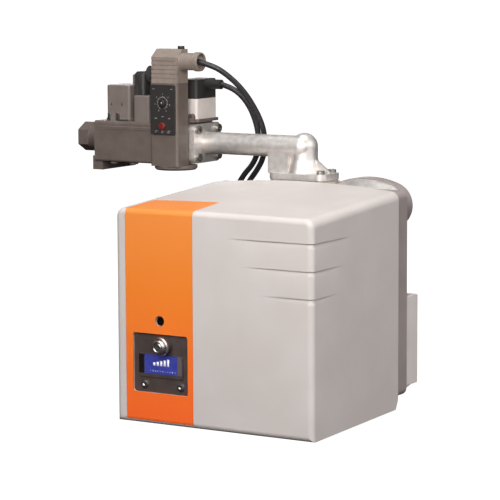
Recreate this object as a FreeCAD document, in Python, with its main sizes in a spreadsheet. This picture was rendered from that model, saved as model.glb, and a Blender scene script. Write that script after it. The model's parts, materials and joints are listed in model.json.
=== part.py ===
import FreeCAD, Part
import math
import os
import Sketcher
from types import SimpleNamespace

# Gas burner. The origin is the centre of the boiler flange face on the axis of the blast
# tube, +Y is the firing direction, +Z is up and +X is to the right seen from the front.

doc = FreeCAD.newDocument("GasBurner")
sheet = doc.addObject("Spreadsheet::Sheet", "Sizes")

sizes = {
    # Housing: the moulded cover and the casing behind it
    "coverWidth": 244,
    "coverLeft": 108,
    "coverDepth": 186.5,
    "coverGap": 0.5,
    "coverBelowAxis": 165,
    "coverFrontHeight": 231.4,
    "coverRearHeight": 243.6,
    "coverBottomRise": 5,
    "coverCrown": 5.5,
    "coverFrontCrown": 0.6,
    "coverWall": 3,
    "coverCorner": 10,
    "coverRound": 6.5,
    "bottomChamferDepth": 5,
    "bottomChamferHeight": 10,
    "ledgeTop": 206.4,
    "ledgePitch": 28.6,
    "ledgeHeight": 6,
    "ledgeCut": 2.1,
    "ledgeFrontReach": 105,
    "ledgeSideReach": 83,
    "ledgeFrontStep": 20,
    "ledgeSideStep": 16,
    "ledgeFade": 30,
    "casingDepth": 21,
    "casingWall": 5,
    "casingBack": 3,
    "casingInset": 1,
    "casingTop": 78,
    "casingBottom": 148,
    "casingCorner": 8,
    "lipLength": 8,
    "lipWall": 2.2,
    "lipClearance": 0.6,
    "flangeToCasing": 67,
    # Orange stripe and the cover screw
    "stripeLeft": 95,
    "stripeWidth": 85,
    "stripeThickness": 1.4,
    "stripeInset": 0.3,
    "stripeGap": 0.3,
    "stripeWrap": 56,
    "stripeLift": 0.5,
    "coverScrewX": 52,
    "coverScrewZ": 52.5,
    "coverScrewHead": 4.5,
    "coverScrewHeadLength": 4,
    "coverScrewShank": 2.5,
    "coverScrewSeat": 6,
    "coverScrewClearance": 0.3,
    "screwReach": 6,
    "threadGap": 0.05,
    "coverScrewRecess": 5.75,
    "coverBoss": 8,
    "bossGap": 0.3,
    # Control panel with display and reset button
    "windowX": 51.6,
    "windowZ": 98.5,
    "windowWidth": 69.6,
    "windowHeight": 64,
    "windowCorner": 3,
    "panelClearance": 0.4,
    "panelRecess": 3,
    "panelThickness": 6,
    "panelFace": 2.5,
    "bezelX": 52,
    "bezelZ": 101.2,
    "bezelWidth": 56,
    "bezelHeight": 25,
    "bezelRaise": 1.2,
    "displayWidth": 42,
    "displayHeight": 20.7,
    "displayZ": 99.7,
    "displayDepth": 1.2,
    "resetX": 46.5,
    "resetZ": 78.5,
    "resetBarrel": 9.2,
    "resetBarrelLength": 11,
    "resetButton": 7.4,
    "resetTravel": 3,
    "resetStandOut": 4,
    "resetClearance": 0.1,
    "panelScrewX": 50,
    "panelScrewPitch": 46,
    "panelScrewZ": 122,
    "panelScrewHead": 4,
    "panelScrewHeight": 2,
    "panelScrewShank": 2,
    # Control box, its carrier and the ignition transformer
    "carrierPlate": 3,
    "carrierWidth": 92,
    "carrierBottom": 141,
    "carrierRearFlange": 14,
    "controlBoxWidth": 80,
    "controlBoxHeight": 74,
    "controlBoxDepth": 72,
    "transformerWidth": 60,
    "transformerHeight": 62,
    "transformerDepth": 68,
    "transformerX": 68,
    "transformerZ": 32,
    "pressureCanX": 4,
    "pressureCanZ": 50,
    "pressureCanRadius": 22,
    "pressureCanDepth": 26,
    # Fan, scroll and motor
    "fanX": 66,
    "fanZ": 82,
    "fanRadius": 48,
    "fanBladeInner": 38,
    "fanWidth": 38,
    "fanPlate": 1.5,
    "fanRunningGap": 1.5,
    "bladeCount": 28,
    "bladeThickness": 1,
    "bladeLean": 6,
    "bladeBow": 14,
    "fanRim": 3,
    "fanHub": 11,
    "fanHubLength": 20,
    "scrollDepth": 50,
    "scrollWall": 2.5,
    "scrollTop": 53,
    "scrollLeft": 56,
    "scrollBottom": 59,
    "scrollRight": 62,
    "scrollOutletWidth": 54,
    "scrollOutletTop": 70,
    "scrollOutletCorner": 10,
    "tongueRise": 6,
    "inletRadius": 30,
    "inletCollar": 4,
    "windowLeftX": 77,
    "windowBottomZ": 2,
    "windowOpenWidth": 25,
    "windowOpenHeight": 60,
    "shaftRadius": 5,
    "bearingOuter": 13,
    "bearingWidth": 10,
    "bearingFit": 0.02,
    "motorRadius": 41,
    "motorFin": 3,
    "finCount": 24,
    "finThickness": 2,
    "motorLength": 76,
    "motorFlange": 48,
    "motorFlangeThickness": 5,
    "endBellLength": 16,
    "endBellCrown": 30,
    "shaftBore": 6,
    "shaftStandOut": 4,
    "capacitorRadius": 15,
    "capacitorLength": 58,
    # Air box and damper
    "airBoxLeft": 94,
    "airBoxRight": 134,
    "airBoxTop": 39,
    "airBoxBottom": 138,
    "airBoxDepth": 30,
    "airBoxWall": 2.5,
    "airBoxNotchX": 38,
    "airBoxNotchTop": 59,
    "airBoxSlopeX": 64,
    "airBoxChamfer": 22,
    "airBoxChamferRise": 5,
    "intakeHeight": 56,
    "intakeDepth": 20,
    "grilleFlange": 4,
    "grilleSlats": 8,
    "damperX": 38,
    "damperZ": 98,
    "damperChord": 68,
    "damperThickness": 2,
    "damperSideGap": 2,
    "damperShaft": 4,
    "damperBushGap": 0.05,
    "servoSize": 48,
    "servoDepth": 40,
    "servoDial": 14,
    "servoDialThickness": 5,
    "servoGap": 0.3,
    # Head casting with the gas riser, blast tube and boiler flange
    "headDepth": 32,
    "headShoulder": 17,
    "headShoulderInset": 7,
    "headWall": 4,
    "headRound": 56,
    "headArcRadius": 98,
    "headArcX": 74,
    "headArcZ": 11.5,
    "lobeX": 100,
    "lobeZ": 58,
    "lobeRadius": 24,
    "headSideX": 114,
    "headSideZ": 5,
    "headArcEndX": 4,
    "bandThickness": 1.2,
    "bandDepth": 15,
    "bandClearance": 0.1,
    "riserRadius": 12.4,
    "riserBore": 8,
    "riserY": 54.5,
    "riserTop": 82,
    "elbowBaseWidth": 73,
    "elbowBaseDepth": 42,
    "elbowBaseCorner": 9,
    "tubeRadius": 40,
    "tubeWall": 1.5,
    "tubeLength": 140,
    "tubeRim": 45,
    "tubeRimThickness": 2,
    "tubeSeatGap": 0.1,
    "boilerFlangeHalf": 72,
    "boilerFlangeThickness": 9,
    "boilerFlangeCorner": 22,
    "boilerBoss": 48,
    "boilerBossLength": 10,
    "gasketThickness": 4,
    "boltCircle": 160,
    "boltHole": 4.5,
    "clampScrew": 3,
    # Gas line on the axis
    "lanceRadius": 12,
    "lanceWall": 2,
    "lanceFront": 92,
    "lanceRear": 46,
    "lanceTravel": 12,
    "lanceClearance": 0.05,
    "lancePort": 9,
    "lanceBoss": 18,
    "nozzleRadius": 15,
    "nozzleLength": 16,
    "nozzlePorts": 8,
    "nozzlePort": 1.6,
    "deflectorRadius": 34,
    "deflectorThickness": 2,
    "deflectorSlots": 8,
    "deflectorSlotWidth": 3,
    "deflectorSlotStart": 19,
    "deflectorSlotLength": 12,
    "electrodeSpread": 25,
    "ceramicRadius": 4,
    "ceramicLength": 44,
    "rodRadius": 1.2,
    "rodLength": 74,
    "clampPlate": 4,
    "adjusterRadius": 4,
    "adjusterThreadLength": 24,
    "adjusterClearance": 0.05,
    "adjusterEndGap": 0.3,
    "adjusterKnob": 9,
    "adjusterKnobLength": 8,
    "yokeGap": 24,
    "yokeStandOff": 24,
    "yokePost": 4,
    "yokeBar": 5,
    # Gas elbow
    "elbowPipe": 12.5,
    "elbowPipeZ": 120,
    "elbowLeg": 15.5,
    "elbowPipeY": 64,
    "elbowLegY": 58.5,
    "elbowSkirt": 20,
    "elbowSkirtHeight": 16,
    "elbowFlangeCorner": 7,
    "elbowScrewInset": 8,
    "elbowBaseThickness": 7,
    "elbowFlangeX": 133,
    "elbowFlangeThickness": 8,
    "elbowFlangeDepth": 56,
    "elbowFlangeHeight": 45,
    "elbowGusset": 26,
    "elbowRib": 4,
    "elbowWall": 3.5,
    "sealThickness": 2,
    "trainScrew": 3,
    "trainScrewHead": 4.6,
    "trainScrewHeadHeight": 4,
    "trainScrewDepth": 10,
    "screwTipGap": 1,
    # Gas valve
    "valveLeft": 247.5,
    "valveFront": 114,
    "valveRear": 40,
    "valveBottom": 97.5,
    "valveTop": 144.5,
    "valveEdge": 3,
    "towerWidth": 37,
    "towerProud": 2.5,
    "towerFront": 118,
    "towerRear": 93,
    "towerTop": 190,
    "towerFoot": 95.7,
    "footHeight": 10,
    "footWidth": 13.5,
    "footOverhang": 4.5,
    "underBoss": 5,
    "underBossHeight": 2,
    "panelPlateWidth": 33,
    "panelPlateHeight": 56,
    "panelPlateTop": 188,
    "panelPlateThickness": 2,
    "panelPlateCorner": 2,
    "dialZ": 167.5,
    "dialRadius": 4,
    "dialHeight": 2.5,
    "knobZ": 141.5,
    "knobRadius": 4,
    "knobHeight": 3,
    "pinRadius": 2,
    "pinLength": 6,
    "knobGap": 0.3,
    "dialClearance": 0.05,
    "adjustScrewInset": 3,
    "adjustScrewPitch": 8.5,
    "adjustScrewHead": 2,
    "adjustScrewHeadHeight": 1.5,
    "adjustScrewShank": 1,
    "adjustScrewLength": 3,
    "capRadius": 24.5,
    "capHeight": 4.9,
    "capRound": 2,
    "capShift": 0.5,
    "coilOneLeft": 234,
    "coilOneWidth": 32,
    "coilOneTop": 185.5,
    "coilOneDepth": 34,
    "coilTwoLeft": 198.5,
    "coilTwoWidth": 22,
    "coilTwoTop": 174,
    "coilFront": 108,
    "coilTwoDepth": 40,
    "connectorWidth": 14.5,
    "connectorTop": 201,
    "connectorDepth": 24,
    "domeRadius": 9.5,
    "domeLength": 10,
    "domeDrop": 3,
    "coilGap": 0.3,
    "terminalWidth": 11,
    "terminalHeight": 11,
    "inletY": 77,
    "inletDrop": 22,
    "inletHex": 17,
    "inletLength": 13.5,
    "inletCollarRadius": 14.5,
    "inletCollarLength": 25.5,
    "inletBore": 12.05,
    # Appliance plug and pressure switch
    "plugWidth": 35,
    "plugFoot": 22,
    "plugHeight": 38,
    "plugSlope": 9,
    "plugRibs": 5,
    "plugScrew": 3.2,
    "plugScrewHeight": 3,
    "glandRadius": 9.8,
    "glandLength": 25,
    "glandZ": 214.3,
    "plugNut": 10.6,
    "plugNutLength": 7,
    "plugNutWall": 2,
    "cableRadius": 3.2,
    "grommetX": 90,
    "grommetDrop": 30,
    "cableClearance": 0.1,
    "grommetRadius": 9,
    "grommetLip": 2,
    "cableSpacing": 8,
    "switchLeft": 148,
    "switchWidth": 24,
    "switchFront": 87,
    "switchDepth": 42,
    "switchBaseMargin": 3,
    "switchBaseTop": 148,
    "switchCaseTop": 171,
    "switchCapTop": 193,
    "switchGlandRadius": 5.5,
    "switchGlandLength": 20,
    "switchGlandZ": 187,
    "nippleX": 130,
    "nippleZ": 150.5,
    "nippleRadius": 4,
    "nippleBore": 2,
    "nippleLength": 4,
}

for row, (name, number) in enumerate(sizes.items(), start=1):
    sheet.set(f"A{row}", name)
    sheet.set(f"B{row}", str(number))
    sheet.setAlias(f"B{row}", name)
doc.recompute()


class Size:
    """A number with the formula that ties it to the sheet."""

    def __init__(self, number, formula):
        self.number = number
        self.formula = formula

    def __float__(self):
        return float(self.number)

    def __neg__(self):
        return Size(-self.number, f"(-1 * {self.formula})")

    def __add__(self, other):
        other = tied(other)
        return Size(self.number + other.number, f"({self.formula} + {other.formula})")

    def __sub__(self, other):
        other = tied(other)
        return Size(self.number - other.number, f"({self.formula} - {other.formula})")

    def __mul__(self, other):
        other = tied(other)
        return Size(self.number * other.number, f"({self.formula} * {other.formula})")

    def __truediv__(self, other):
        other = tied(other)
        return Size(self.number / other.number, f"({self.formula} / {other.formula})")

    def __radd__(self, other):
        return tied(other) + self

    def __rsub__(self, other):
        return tied(other) - self

    def __rmul__(self, other):
        return tied(other) * self


def tied(value):
    if isinstance(value, Size):
        return value
    return Size(float(value), f"({float(value)})")


def root(value):
    return Size(math.sqrt(value.number), f"sqrt({value.formula})")


s = SimpleNamespace(**{name: Size(float(sheet.get(name)), f"Sizes.{name}") for name in sizes})
vector = FreeCAD.Vector


def bind(thing, name, value):
    thing.setExpression(name, tied(value).formula)


def place(thing, x=0, y=0, z=0):
    """Put a sub-part at a point that follows the sheet."""
    bind(thing, "Placement.Base.x", x)
    bind(thing, "Placement.Base.y", y)
    bind(thing, "Placement.Base.z", z)
    return thing


def newBody(name):
    body = doc.addObject("PartDesign::Body", name)
    body.Label = name
    return body


def sketchOn(body, plane, offset=0):
    """Empty sketch on an origin plane of the body, moved along the plane's normal."""
    sketch = body.newObject("Sketcher::SketchObject", "Sketch")
    support = [item for item in body.Origin.OriginFeatures if item.Role == plane][0]
    sketch.AttachmentSupport = [(support, "")]
    sketch.MapMode = "FlatFace"
    bind(sketch, "AttachmentOffset.Base.z", offset)
    return sketch


def frontSketch(body, y):
    """Sketch of x and z at a given y."""
    return sketchOn(body, "XZ_Plane", -tied(y))


def planSketch(body, z):
    return sketchOn(body, "XY_Plane", z)


def sideSketch(body, x):
    """Sketch of y and z at a given x."""
    return sketchOn(body, "YZ_Plane", x)


def tie(sketch, item, end, x, y):
    """Hold one point of the sketch at a place that follows the sheet."""
    for kind, axis, value in (("DistanceX", -2, tied(x)), ("DistanceY", -1, tied(y))):
        if value.number == 0:
            sketch.addConstraint(Sketcher.Constraint("PointOnObject", item, end, axis))
            continue
        held = sketch.addConstraint(Sketcher.Constraint(kind, -1, 1, item, end, value.number))
        bind(sketch, f"Constraints[{held}]", value)


def outline(sketch, corners):
    """Closed outline through the corners, counter-clockwise.

    A corner is (x, y) before a straight side, or (x, y, radius) before an arc: a positive
    radius bulges outward and a negative one inward.
    """
    first = sketch.GeometryCount
    points = [vector(float(corner[0]), float(corner[1]), 0) for corner in corners]
    ends = []
    for place_, corner in enumerate(corners):
        here = points[place_]
        there = points[(place_ + 1) % len(points)]
        if len(corner) == 2:
            sketch.addGeometry(Part.LineSegment(here, there), False)
            ends.append((1, 2))
            continue
        radius = float(corner[2])
        chord = there - here
        reach = math.sqrt(radius * radius - chord.Length * chord.Length / 4)
        normal = vector(-chord.y, chord.x, 0).normalize()
        centre = (here + there) * 0.5 + normal * math.copysign(reach, radius)
        start, end = (here, there) if radius > 0 else (there, here)
        angles = [math.atan2(point.y - centre.y, point.x - centre.x) for point in (start, end)]
        circle = Part.Circle(centre, vector(0, 0, 1), abs(radius))
        sketch.addGeometry(Part.ArcOfCircle(circle, *angles), False)
        ends.append((1, 2) if radius > 0 else (2, 1))
    for k, corner in enumerate(corners):
        following = (k + 1) % len(corners)
        sketch.addConstraint(
            Sketcher.Constraint("Coincident", first + k, ends[k][1], first + following, ends[following][0])
        )
        tie(sketch, first + k, ends[k][0], corner[0], corner[1])
        if len(corner) == 3:
            size = tied(corner[2])
            size = size if size.number > 0 else -size
            held = sketch.addConstraint(Sketcher.Constraint("Radius", first + k, size.number))
            bind(sketch, f"Constraints[{held}]", size)
    return sketch


def rectangle(sketch, left, bottom, right, top):
    return outline(sketch, [(left, bottom), (right, bottom), (right, top), (left, top)])


def roundedRectangle(sketch, left, bottom, right, top, radius):
    r = radius
    return outline(
        sketch,
        [
            (left + r, bottom),
            (right - r, bottom, r),
            (right, bottom + r),
            (right, top - r, r),
            (right - r, top),
            (left + r, top, r),
            (left, top - r),
            (left, bottom + r, r),
        ],
    )


def ring(sketch, x, y, radius):
    item = sketch.addGeometry(Part.Circle(vector(float(x), float(y), 0), vector(0, 0, 1), float(radius)), False)
    tie(sketch, item, 3, x, y)
    held = sketch.addConstraint(Sketcher.Constraint("Radius", item, float(radius)))
    bind(sketch, f"Constraints[{held}]", radius)
    return sketch


def grow(body, kind, sketch, length, backward=False):
    """Pad or pocket of a sketch; it runs along the plane's normal, or against it if backward."""
    feature = body.newObject(f"PartDesign::{kind}", kind)
    feature.Profile = sketch
    bind(feature, "Length", length)
    feature.Reversed = backward
    sketch.Visibility = False
    return feature


def padFront(body, sketch, length):
    """Pad of a front sketch toward the back (+Y)."""
    return grow(body, "Pad", sketch, length, True)


def cutBack(body, sketch, length):
    """Pocket of a front sketch toward the back (+Y)."""
    return grow(body, "Pocket", sketch, length, False)


def padUp(body, sketch, length):
    return grow(body, "Pad", sketch, length)


def cutUp(body, sketch, length):
    return grow(body, "Pocket", sketch, length, True)


def cutDown(body, sketch, length):
    return grow(body, "Pocket", sketch, length)


def loft(body, kind, sections):
    feature = body.newObject(f"PartDesign::{kind}", kind)
    feature.Profile = sections[0]
    feature.Sections = sections[1:]
    feature.Ruled = True
    return feature


def turn(body, axis, profile, kind="Revolution"):
    """Body of revolution about its own axis; the profile is a list of (along, radius)."""
    plane = "XZ_Plane" if axis == "Z" else "XY_Plane"
    sketch = sketchOn(body, plane)
    points = [(along, radius) if axis == "X" else (radius, along) for along, radius in profile]
    outline(sketch, anticlockwise(points))
    feature = body.newObject(f"PartDesign::{kind}", kind)
    feature.Profile = sketch
    line = [item for item in body.Origin.OriginFeatures if item.Role == f"{axis}_Axis"][0]
    feature.ReferenceAxis = (line, [""])
    feature.Angle = 360
    return feature


def revolve(body, sketch):
    """Turn a sketch about its own upright axis."""
    feature = body.newObject("PartDesign::Revolution", "Revolution")
    feature.Profile = sketch
    feature.ReferenceAxis = (sketch, ["V_Axis"])
    feature.Angle = 360
    return feature


def anticlockwise(points):
    """The same outline, in the counter-clockwise order."""
    area = 0
    for k, (x, y) in enumerate(points):
        nextX, nextY = points[(k + 1) % len(points)]
        area += float(x) * float(nextY) - float(nextX) * float(y)
    return points if area > 0 else points[::-1]


def turned(name, axis, profile, x=0, y=0, z=0):
    body = newBody(name)
    turn(body, axis, profile)
    place(body, x, y, z)
    return body


def edgesAlong(axis, where=lambda middle: True):
    """Choice of the straight edges that run along one axis, by their middle point."""
    direction = {"X": vector(1, 0, 0), "Y": vector(0, 1, 0), "Z": vector(0, 0, 1)}[axis]

    def chosen(edge):
        if edge.Curve.TypeId != "Part::GeomLine":
            return False
        straight = abs(abs(edge.tangentAt(edge.FirstParameter).dot(direction)) - 1) < 1e-6
        return straight and where(edge.CenterOfMass)

    return chosen


def edgesAt(axis, level):
    """Choice of the edges that lie in one plane square to an axis."""

    def chosen(edge):
        box = edge.BoundBox
        low = getattr(box, f"{axis}Min")
        high = getattr(box, f"{axis}Max")
        return abs(low - float(level)) < 1e-4 and abs(high - float(level)) < 1e-4

    return chosen


def soften(body, kind, amount, chosen):
    """Fillet or chamfer of the chosen edges."""
    doc.recompute()
    base = body.Tip
    names = [f"Edge{k}" for k, edge in enumerate(base.Shape.Edges, start=1) if chosen(edge)]
    feature = body.newObject(f"PartDesign::{kind}", kind)
    feature.Base = (base, names)
    bind(feature, "Radius" if kind == "Fillet" else "Size", amount)
    return feature


def repeatRound(body, features, axis, count):
    """Polar pattern about an axis of the body; the count follows the sheet."""
    feature = body.newObject("PartDesign::PolarPattern", "PolarPattern")
    feature.Originals = features
    line = [item for item in body.Origin.OriginFeatures if item.Role == f"{axis}_Axis"][0]
    feature.Axis = (line, [""])
    feature.Angle = 360
    bind(feature, "Occurrences", count)
    body.Tip = feature
    return feature


def repeatAlong(body, features, axis, reach, count):
    feature = body.newObject("PartDesign::LinearPattern", "LinearPattern")
    feature.Originals = features
    line = [item for item in body.Origin.OriginFeatures if item.Role == f"{axis}_Axis"][0]
    feature.Direction = (line, [""])
    bind(feature, "Length", reach)
    bind(feature, "Occurrences", count)
    body.Tip = feature
    return feature


def primitive(kind, sizes_, x=0, y=0, z=0, turn_=None):
    """Part primitive whose sizes and place follow the sheet."""
    thing = doc.addObject(f"Part::{kind}", kind)
    for name, value in sizes_.items():
        bind(thing, name, value)
    if turn_:
        thing.Placement = FreeCAD.Placement(vector(0, 0, 0), FreeCAD.Rotation(*turn_))
    return place(thing, x, y, z)


def box(left, front, bottom, width, depth, height):
    return primitive("Box", {"Length": width, "Width": depth, "Height": height}, left, front, bottom)


alongX = (vector(0, 1, 0), 90)
alongY = (vector(1, 0, 0), -90)
alongZ = (vector(0, 0, 1), 0)


def rod(radius, length, x, y, z, axis=alongY):
    return primitive("Cylinder", {"Radius": radius, "Height": length}, x, y, z, axis)


def cut(base, tool, name="Cut"):
    thing = doc.addObject("Part::Cut", name)
    thing.Base = base
    thing.Tool = tool
    return thing


def common(base, tool, name="Common"):
    thing = doc.addObject("Part::Common", name)
    thing.Base = base
    thing.Tool = tool
    return thing


def fuse(shapes, name="Fusion"):
    thing = doc.addObject("Part::MultiFuse", name)
    thing.Shapes = shapes
    thing.Refine = True
    return thing


def group(name, members):
    """One node of several separate solids."""
    thing = doc.addObject("Part::Compound", name)
    thing.Links = members
    thing.Label = name
    return thing


def named(name, thing):
    thing.Label = name
    return thing


def socketScrew(head, height, shank, length, x, y, z, axis):
    """Cap screw with a hexagon socket; the head stands at the given point, the shank ahead."""
    body = newBody("screw")
    turn(body, "Z", [(0, 0), (0, head), (height, head), (height, shank), (height + length, shank), (height + length, 0)])
    socket = planSketch(body, 0)
    corners = []
    for k in range(6):
        angle = math.radians(60 * k)
        corners.append((head * 0.5 * math.cos(angle), head * 0.5 * math.sin(angle)))
    outline(socket, corners)
    cutUp(body, socket, height * 0.6)
    body.Placement = FreeCAD.Placement(vector(0, 0, 0), FreeCAD.Rotation(*axis))
    return place(body, x, y, z)


# Main places worked out from the sizes
casingRear = -s.flangeToCasing
casingFront = casingRear - s.casingDepth
coverRear = casingFront - s.coverGap
coverFront = coverRear - s.coverDepth
coverBottom = -s.coverBelowAxis
coverLeft = -s.coverLeft
coverRight = coverLeft + s.coverWidth
casingBackFront = casingRear - s.casingBack
fanX = s.fanX
fanZ = -s.fanZ
pipeY = -s.elbowPipeY
legY = -s.elbowLegY


def coverSection(body, y, inset, bottom, height, crown):
    """Cover outline at one depth: flat bottom, rounded shoulders and a crown tangent to them."""
    left = coverLeft + inset
    right = coverRight - inset
    top = coverBottom + height - inset
    r = s.coverCorner - inset
    half = (right - left) / 2 - r
    swing = (half * half + crown * crown) / (2 * crown)
    out = r * half / swing
    up = r * (swing - crown) / swing
    return outline(
        frontSketch(body, y),
        [
            (left, bottom + inset),
            (right, bottom + inset),
            (right, top - r, r),
            (right - r + out, top - r + up, swing + r),
            (left + r - out, top - r + up, r),
            (left, top - r),
        ],
    )


def coverForm(name, inset):
    """The cover's outside, or a form that lies a given distance inside it."""
    inset = tied(inset)
    body = newBody(name)
    front = coverSection(body, coverFront + inset, inset, coverBottom, s.coverFrontHeight, s.coverFrontCrown)
    rear = coverSection(
        body, coverRear, inset, coverBottom + s.coverBottomRise, s.coverRearHeight, s.coverCrown
    )
    loft(body, "AdditiveLoft", [rear, front])
    soften(body, "Fillet", s.coverRound - inset, edgesAt("Y", coverFront + inset))
    steep = s.bottomChamferHeight / s.bottomChamferDepth
    rise = inset * root(1 + steep * steep)
    low = coverBottom + s.bottomChamferHeight - s.bottomChamferDepth * 2
    atRear = coverBottom + s.coverBottomRise + s.bottomChamferHeight + rise
    wedge = sideSketch(body, coverRight + 1)
    outline(
        wedge,
        [
            (coverRear - (atRear - low) / steep, low),
            (coverRear + 1, low),
            (coverRear + 1, atRear + steep),
        ],
    )
    cutDown(body, wedge, s.coverWidth + 2)
    return body


def ledges(body):
    """Three stepped ledges round the front right corner, each fading out along its face."""
    for k in range(3):
        sketch = planSketch(body, coverBottom + s.ledgeTop - k * s.ledgePitch)
        fromX = coverRight - s.ledgeFrontReach + k * s.ledgeFrontStep
        toY = coverFront + s.ledgeSideReach - k * s.ledgeSideStep
        deepX = coverRight - s.ledgeCut
        deepY = coverFront + s.ledgeCut
        r = s.coverRound - s.ledgeCut
        outline(
            sketch,
            [
                (fromX, coverFront - s.ledgeHeight),
                (coverRight + s.ledgeHeight, coverFront - s.ledgeHeight),
                (coverRight + s.ledgeHeight, toY),
                (coverRight, toY),
                (deepX, toY - s.ledgeFade),
                (deepX, deepY + r, -r),
                (deepX - r, deepY),
                (fromX + s.ledgeFade, deepY),
                (fromX, coverFront),
            ],
        )
        pocket = cutDown(body, sketch, s.ledgeHeight)
        pocket.TaperAngle = -math.degrees(math.atan(float(s.ledgeCut / s.ledgeHeight)))
        bind(pocket, "TaperAngle", Size(pocket.TaperAngle.Value, f"-1 * atan({(s.ledgeCut / s.ledgeHeight).formula})"))


def windowForm(margin):
    """The control window in the cover, less a margin all round."""
    body = newBody("window")
    left = -s.windowX - s.windowWidth / 2 + margin
    bottom = -s.windowZ - s.windowHeight / 2 + margin
    right = -s.windowX + s.windowWidth / 2 - margin
    top = -s.windowZ + s.windowHeight / 2 - margin
    sketch = frontSketch(body, coverFront - s.coverWall)
    roundedRectangle(sketch, left, bottom, right, top, s.windowCorner)
    padFront(body, sketch, s.coverWall * 3)
    return body


def stripeSpace(margin):
    """Room for the stripe on the front and over the top, clear of the cover's bottom."""
    under = s.stripeInset + s.stripeThickness + s.stripeGap + s.stripeLift
    foot = coverBottom + under + s.coverBottomRise * s.stripeWrap / s.coverDepth
    return box(
        -s.stripeLeft - margin,
        coverFront - 1,
        foot - margin,
        s.stripeWidth + 2 * margin,
        s.stripeWrap + 1 + margin,
        s.coverRearHeight + s.coverCrown,
    )


def screwRecess():
    return rod(s.coverScrewRecess, s.coverScrewSeat + 1, -s.coverScrewX, coverFront - 1, -s.coverScrewZ)


def coverShell():
    outer = coverForm("cover_outside", 0)
    ledges(outer)
    inner = coverForm("cover_inside", s.coverWall)
    recessDepth = s.stripeInset + s.stripeThickness + s.stripeGap
    recess = cut(stripeSpace(s.stripeGap), coverForm("recess_floor", recessDepth))
    bossFrom = coverFront + s.stripeInset + s.stripeThickness
    bossLength = s.panelRecess + s.panelThickness - s.bossGap - s.stripeInset - s.stripeThickness
    boss = rod(s.coverBoss, bossLength, -s.coverScrewX, bossFrom, -s.coverScrewZ)
    wall = fuse([cut(outer, inner), boss])
    shank = rod(
        s.coverScrewShank + s.coverScrewClearance, s.coverWall * 5, -s.coverScrewX, coverFront, -s.coverScrewZ
    )
    named("cover_shell", cut(wall, fuse([recess, windowForm(0), screwRecess(), shank])))


def coverStripe():
    skin = cut(coverForm("stripe_outside", s.stripeInset), coverForm("stripe_inside", s.stripeInset + s.stripeThickness))
    band = common(skin, stripeSpace(0))
    named("cover_stripe", cut(band, fuse([windowForm(0), screwRecess()])))


def coverScrew():
    head = coverFront + s.coverScrewSeat - s.coverScrewHeadLength
    reach = s.panelRecess + s.panelThickness + s.carrierPlate + s.screwReach - s.coverScrewSeat
    screw = socketScrew(
        s.coverScrewHead, s.coverScrewHeadLength, s.coverScrewShank, reach, -s.coverScrewX, head, -s.coverScrewZ, alongY
    )
    named("cover_screw", screw)


panelFront = coverFront + s.panelRecess
panelBack = panelFront + s.panelThickness


def controlPanel():
    body = newBody("control_panel")
    margin = s.panelClearance
    left = -s.windowX - s.windowWidth / 2 + margin
    bottom = -s.windowZ - s.windowHeight / 2 + margin
    right = -s.windowX + s.windowWidth / 2 - margin
    top = -s.windowZ + s.windowHeight / 2 - margin
    padFront(body, roundedRectangle(frontSketch(body, panelFront), left, bottom, right, top, s.windowCorner), s.panelThickness)
    rim = s.panelFace
    hollow = frontSketch(body, panelFront + s.panelFace)
    cutBack(body, rectangle(hollow, left + rim, bottom + rim, right - rim, top - rim), s.panelThickness)
    bezel = frontSketch(body, panelFront - s.bezelRaise)
    roundedRectangle(
        bezel,
        -s.bezelX - s.bezelWidth / 2,
        -s.bezelZ - s.bezelHeight / 2,
        -s.bezelX + s.bezelWidth / 2,
        -s.bezelZ + s.bezelHeight / 2,
        s.windowCorner,
    )
    padFront(body, bezel, s.bezelRaise + s.panelFace / 2)
    seat = frontSketch(body, panelFront - s.bezelRaise)
    rectangle(
        seat,
        -s.bezelX - s.displayWidth / 2,
        -s.displayZ - s.displayHeight / 2,
        -s.bezelX + s.displayWidth / 2,
        -s.displayZ + s.displayHeight / 2,
    )
    cutBack(body, seat, s.displayDepth)
    barrelFront = panelFront - s.resetBarrelLength
    barrel = ring(frontSketch(body, barrelFront), -s.resetX, -s.resetZ, s.resetBarrel)
    padFront(body, barrel, s.resetBarrelLength + s.panelThickness)
    bore = ring(frontSketch(body, barrelFront), -s.resetX, -s.resetZ, s.resetButton + s.resetClearance)
    cutBack(body, bore, s.resetBarrelLength + s.panelThickness)
    for side in (-1, 1):
        hole = frontSketch(body, panelFront)
        ring(hole, -s.panelScrewX + side * s.panelScrewPitch / 2, -s.panelScrewZ, s.panelScrewShank + s.resetClearance)
        cutBack(body, hole, s.panelThickness)


def displayWindow():
    body = newBody("display_window")
    sketch = frontSketch(body, panelFront - s.bezelRaise + s.displayDepth / 4)
    rectangle(
        sketch,
        -s.bezelX - s.displayWidth / 2,
        -s.displayZ - s.displayHeight / 2,
        -s.bezelX + s.displayWidth / 2,
        -s.displayZ + s.displayHeight / 2,
    )
    padFront(body, sketch, s.displayDepth * 3 / 4)


def resetButton():
    rim = 0.8
    length = s.resetStandOut + s.resetBarrelLength + s.panelThickness - s.resetTravel - 1
    turned(
        "reset_button",
        "Y",
        [(0, 0), (0, s.resetButton - rim), (rim, s.resetButton), (length, s.resetButton), (length, 0)],
        -s.resetX,
        panelFront - s.resetBarrelLength - s.resetStandOut,
        -s.resetZ,
    )


def panelScrews():
    screws = []
    for side in (-1, 1):
        x = -s.panelScrewX + side * s.panelScrewPitch / 2
        y = panelFront - s.panelScrewHeight
        length = s.panelThickness + s.carrierPlate
        screws.append(
            socketScrew(s.panelScrewHead, s.panelScrewHeight, s.panelScrewShank, length, x, y, -s.panelScrewZ, alongY)
        )
    group("panel_screws", screws)


carrierLeft = -s.windowX - s.carrierWidth / 2


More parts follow.
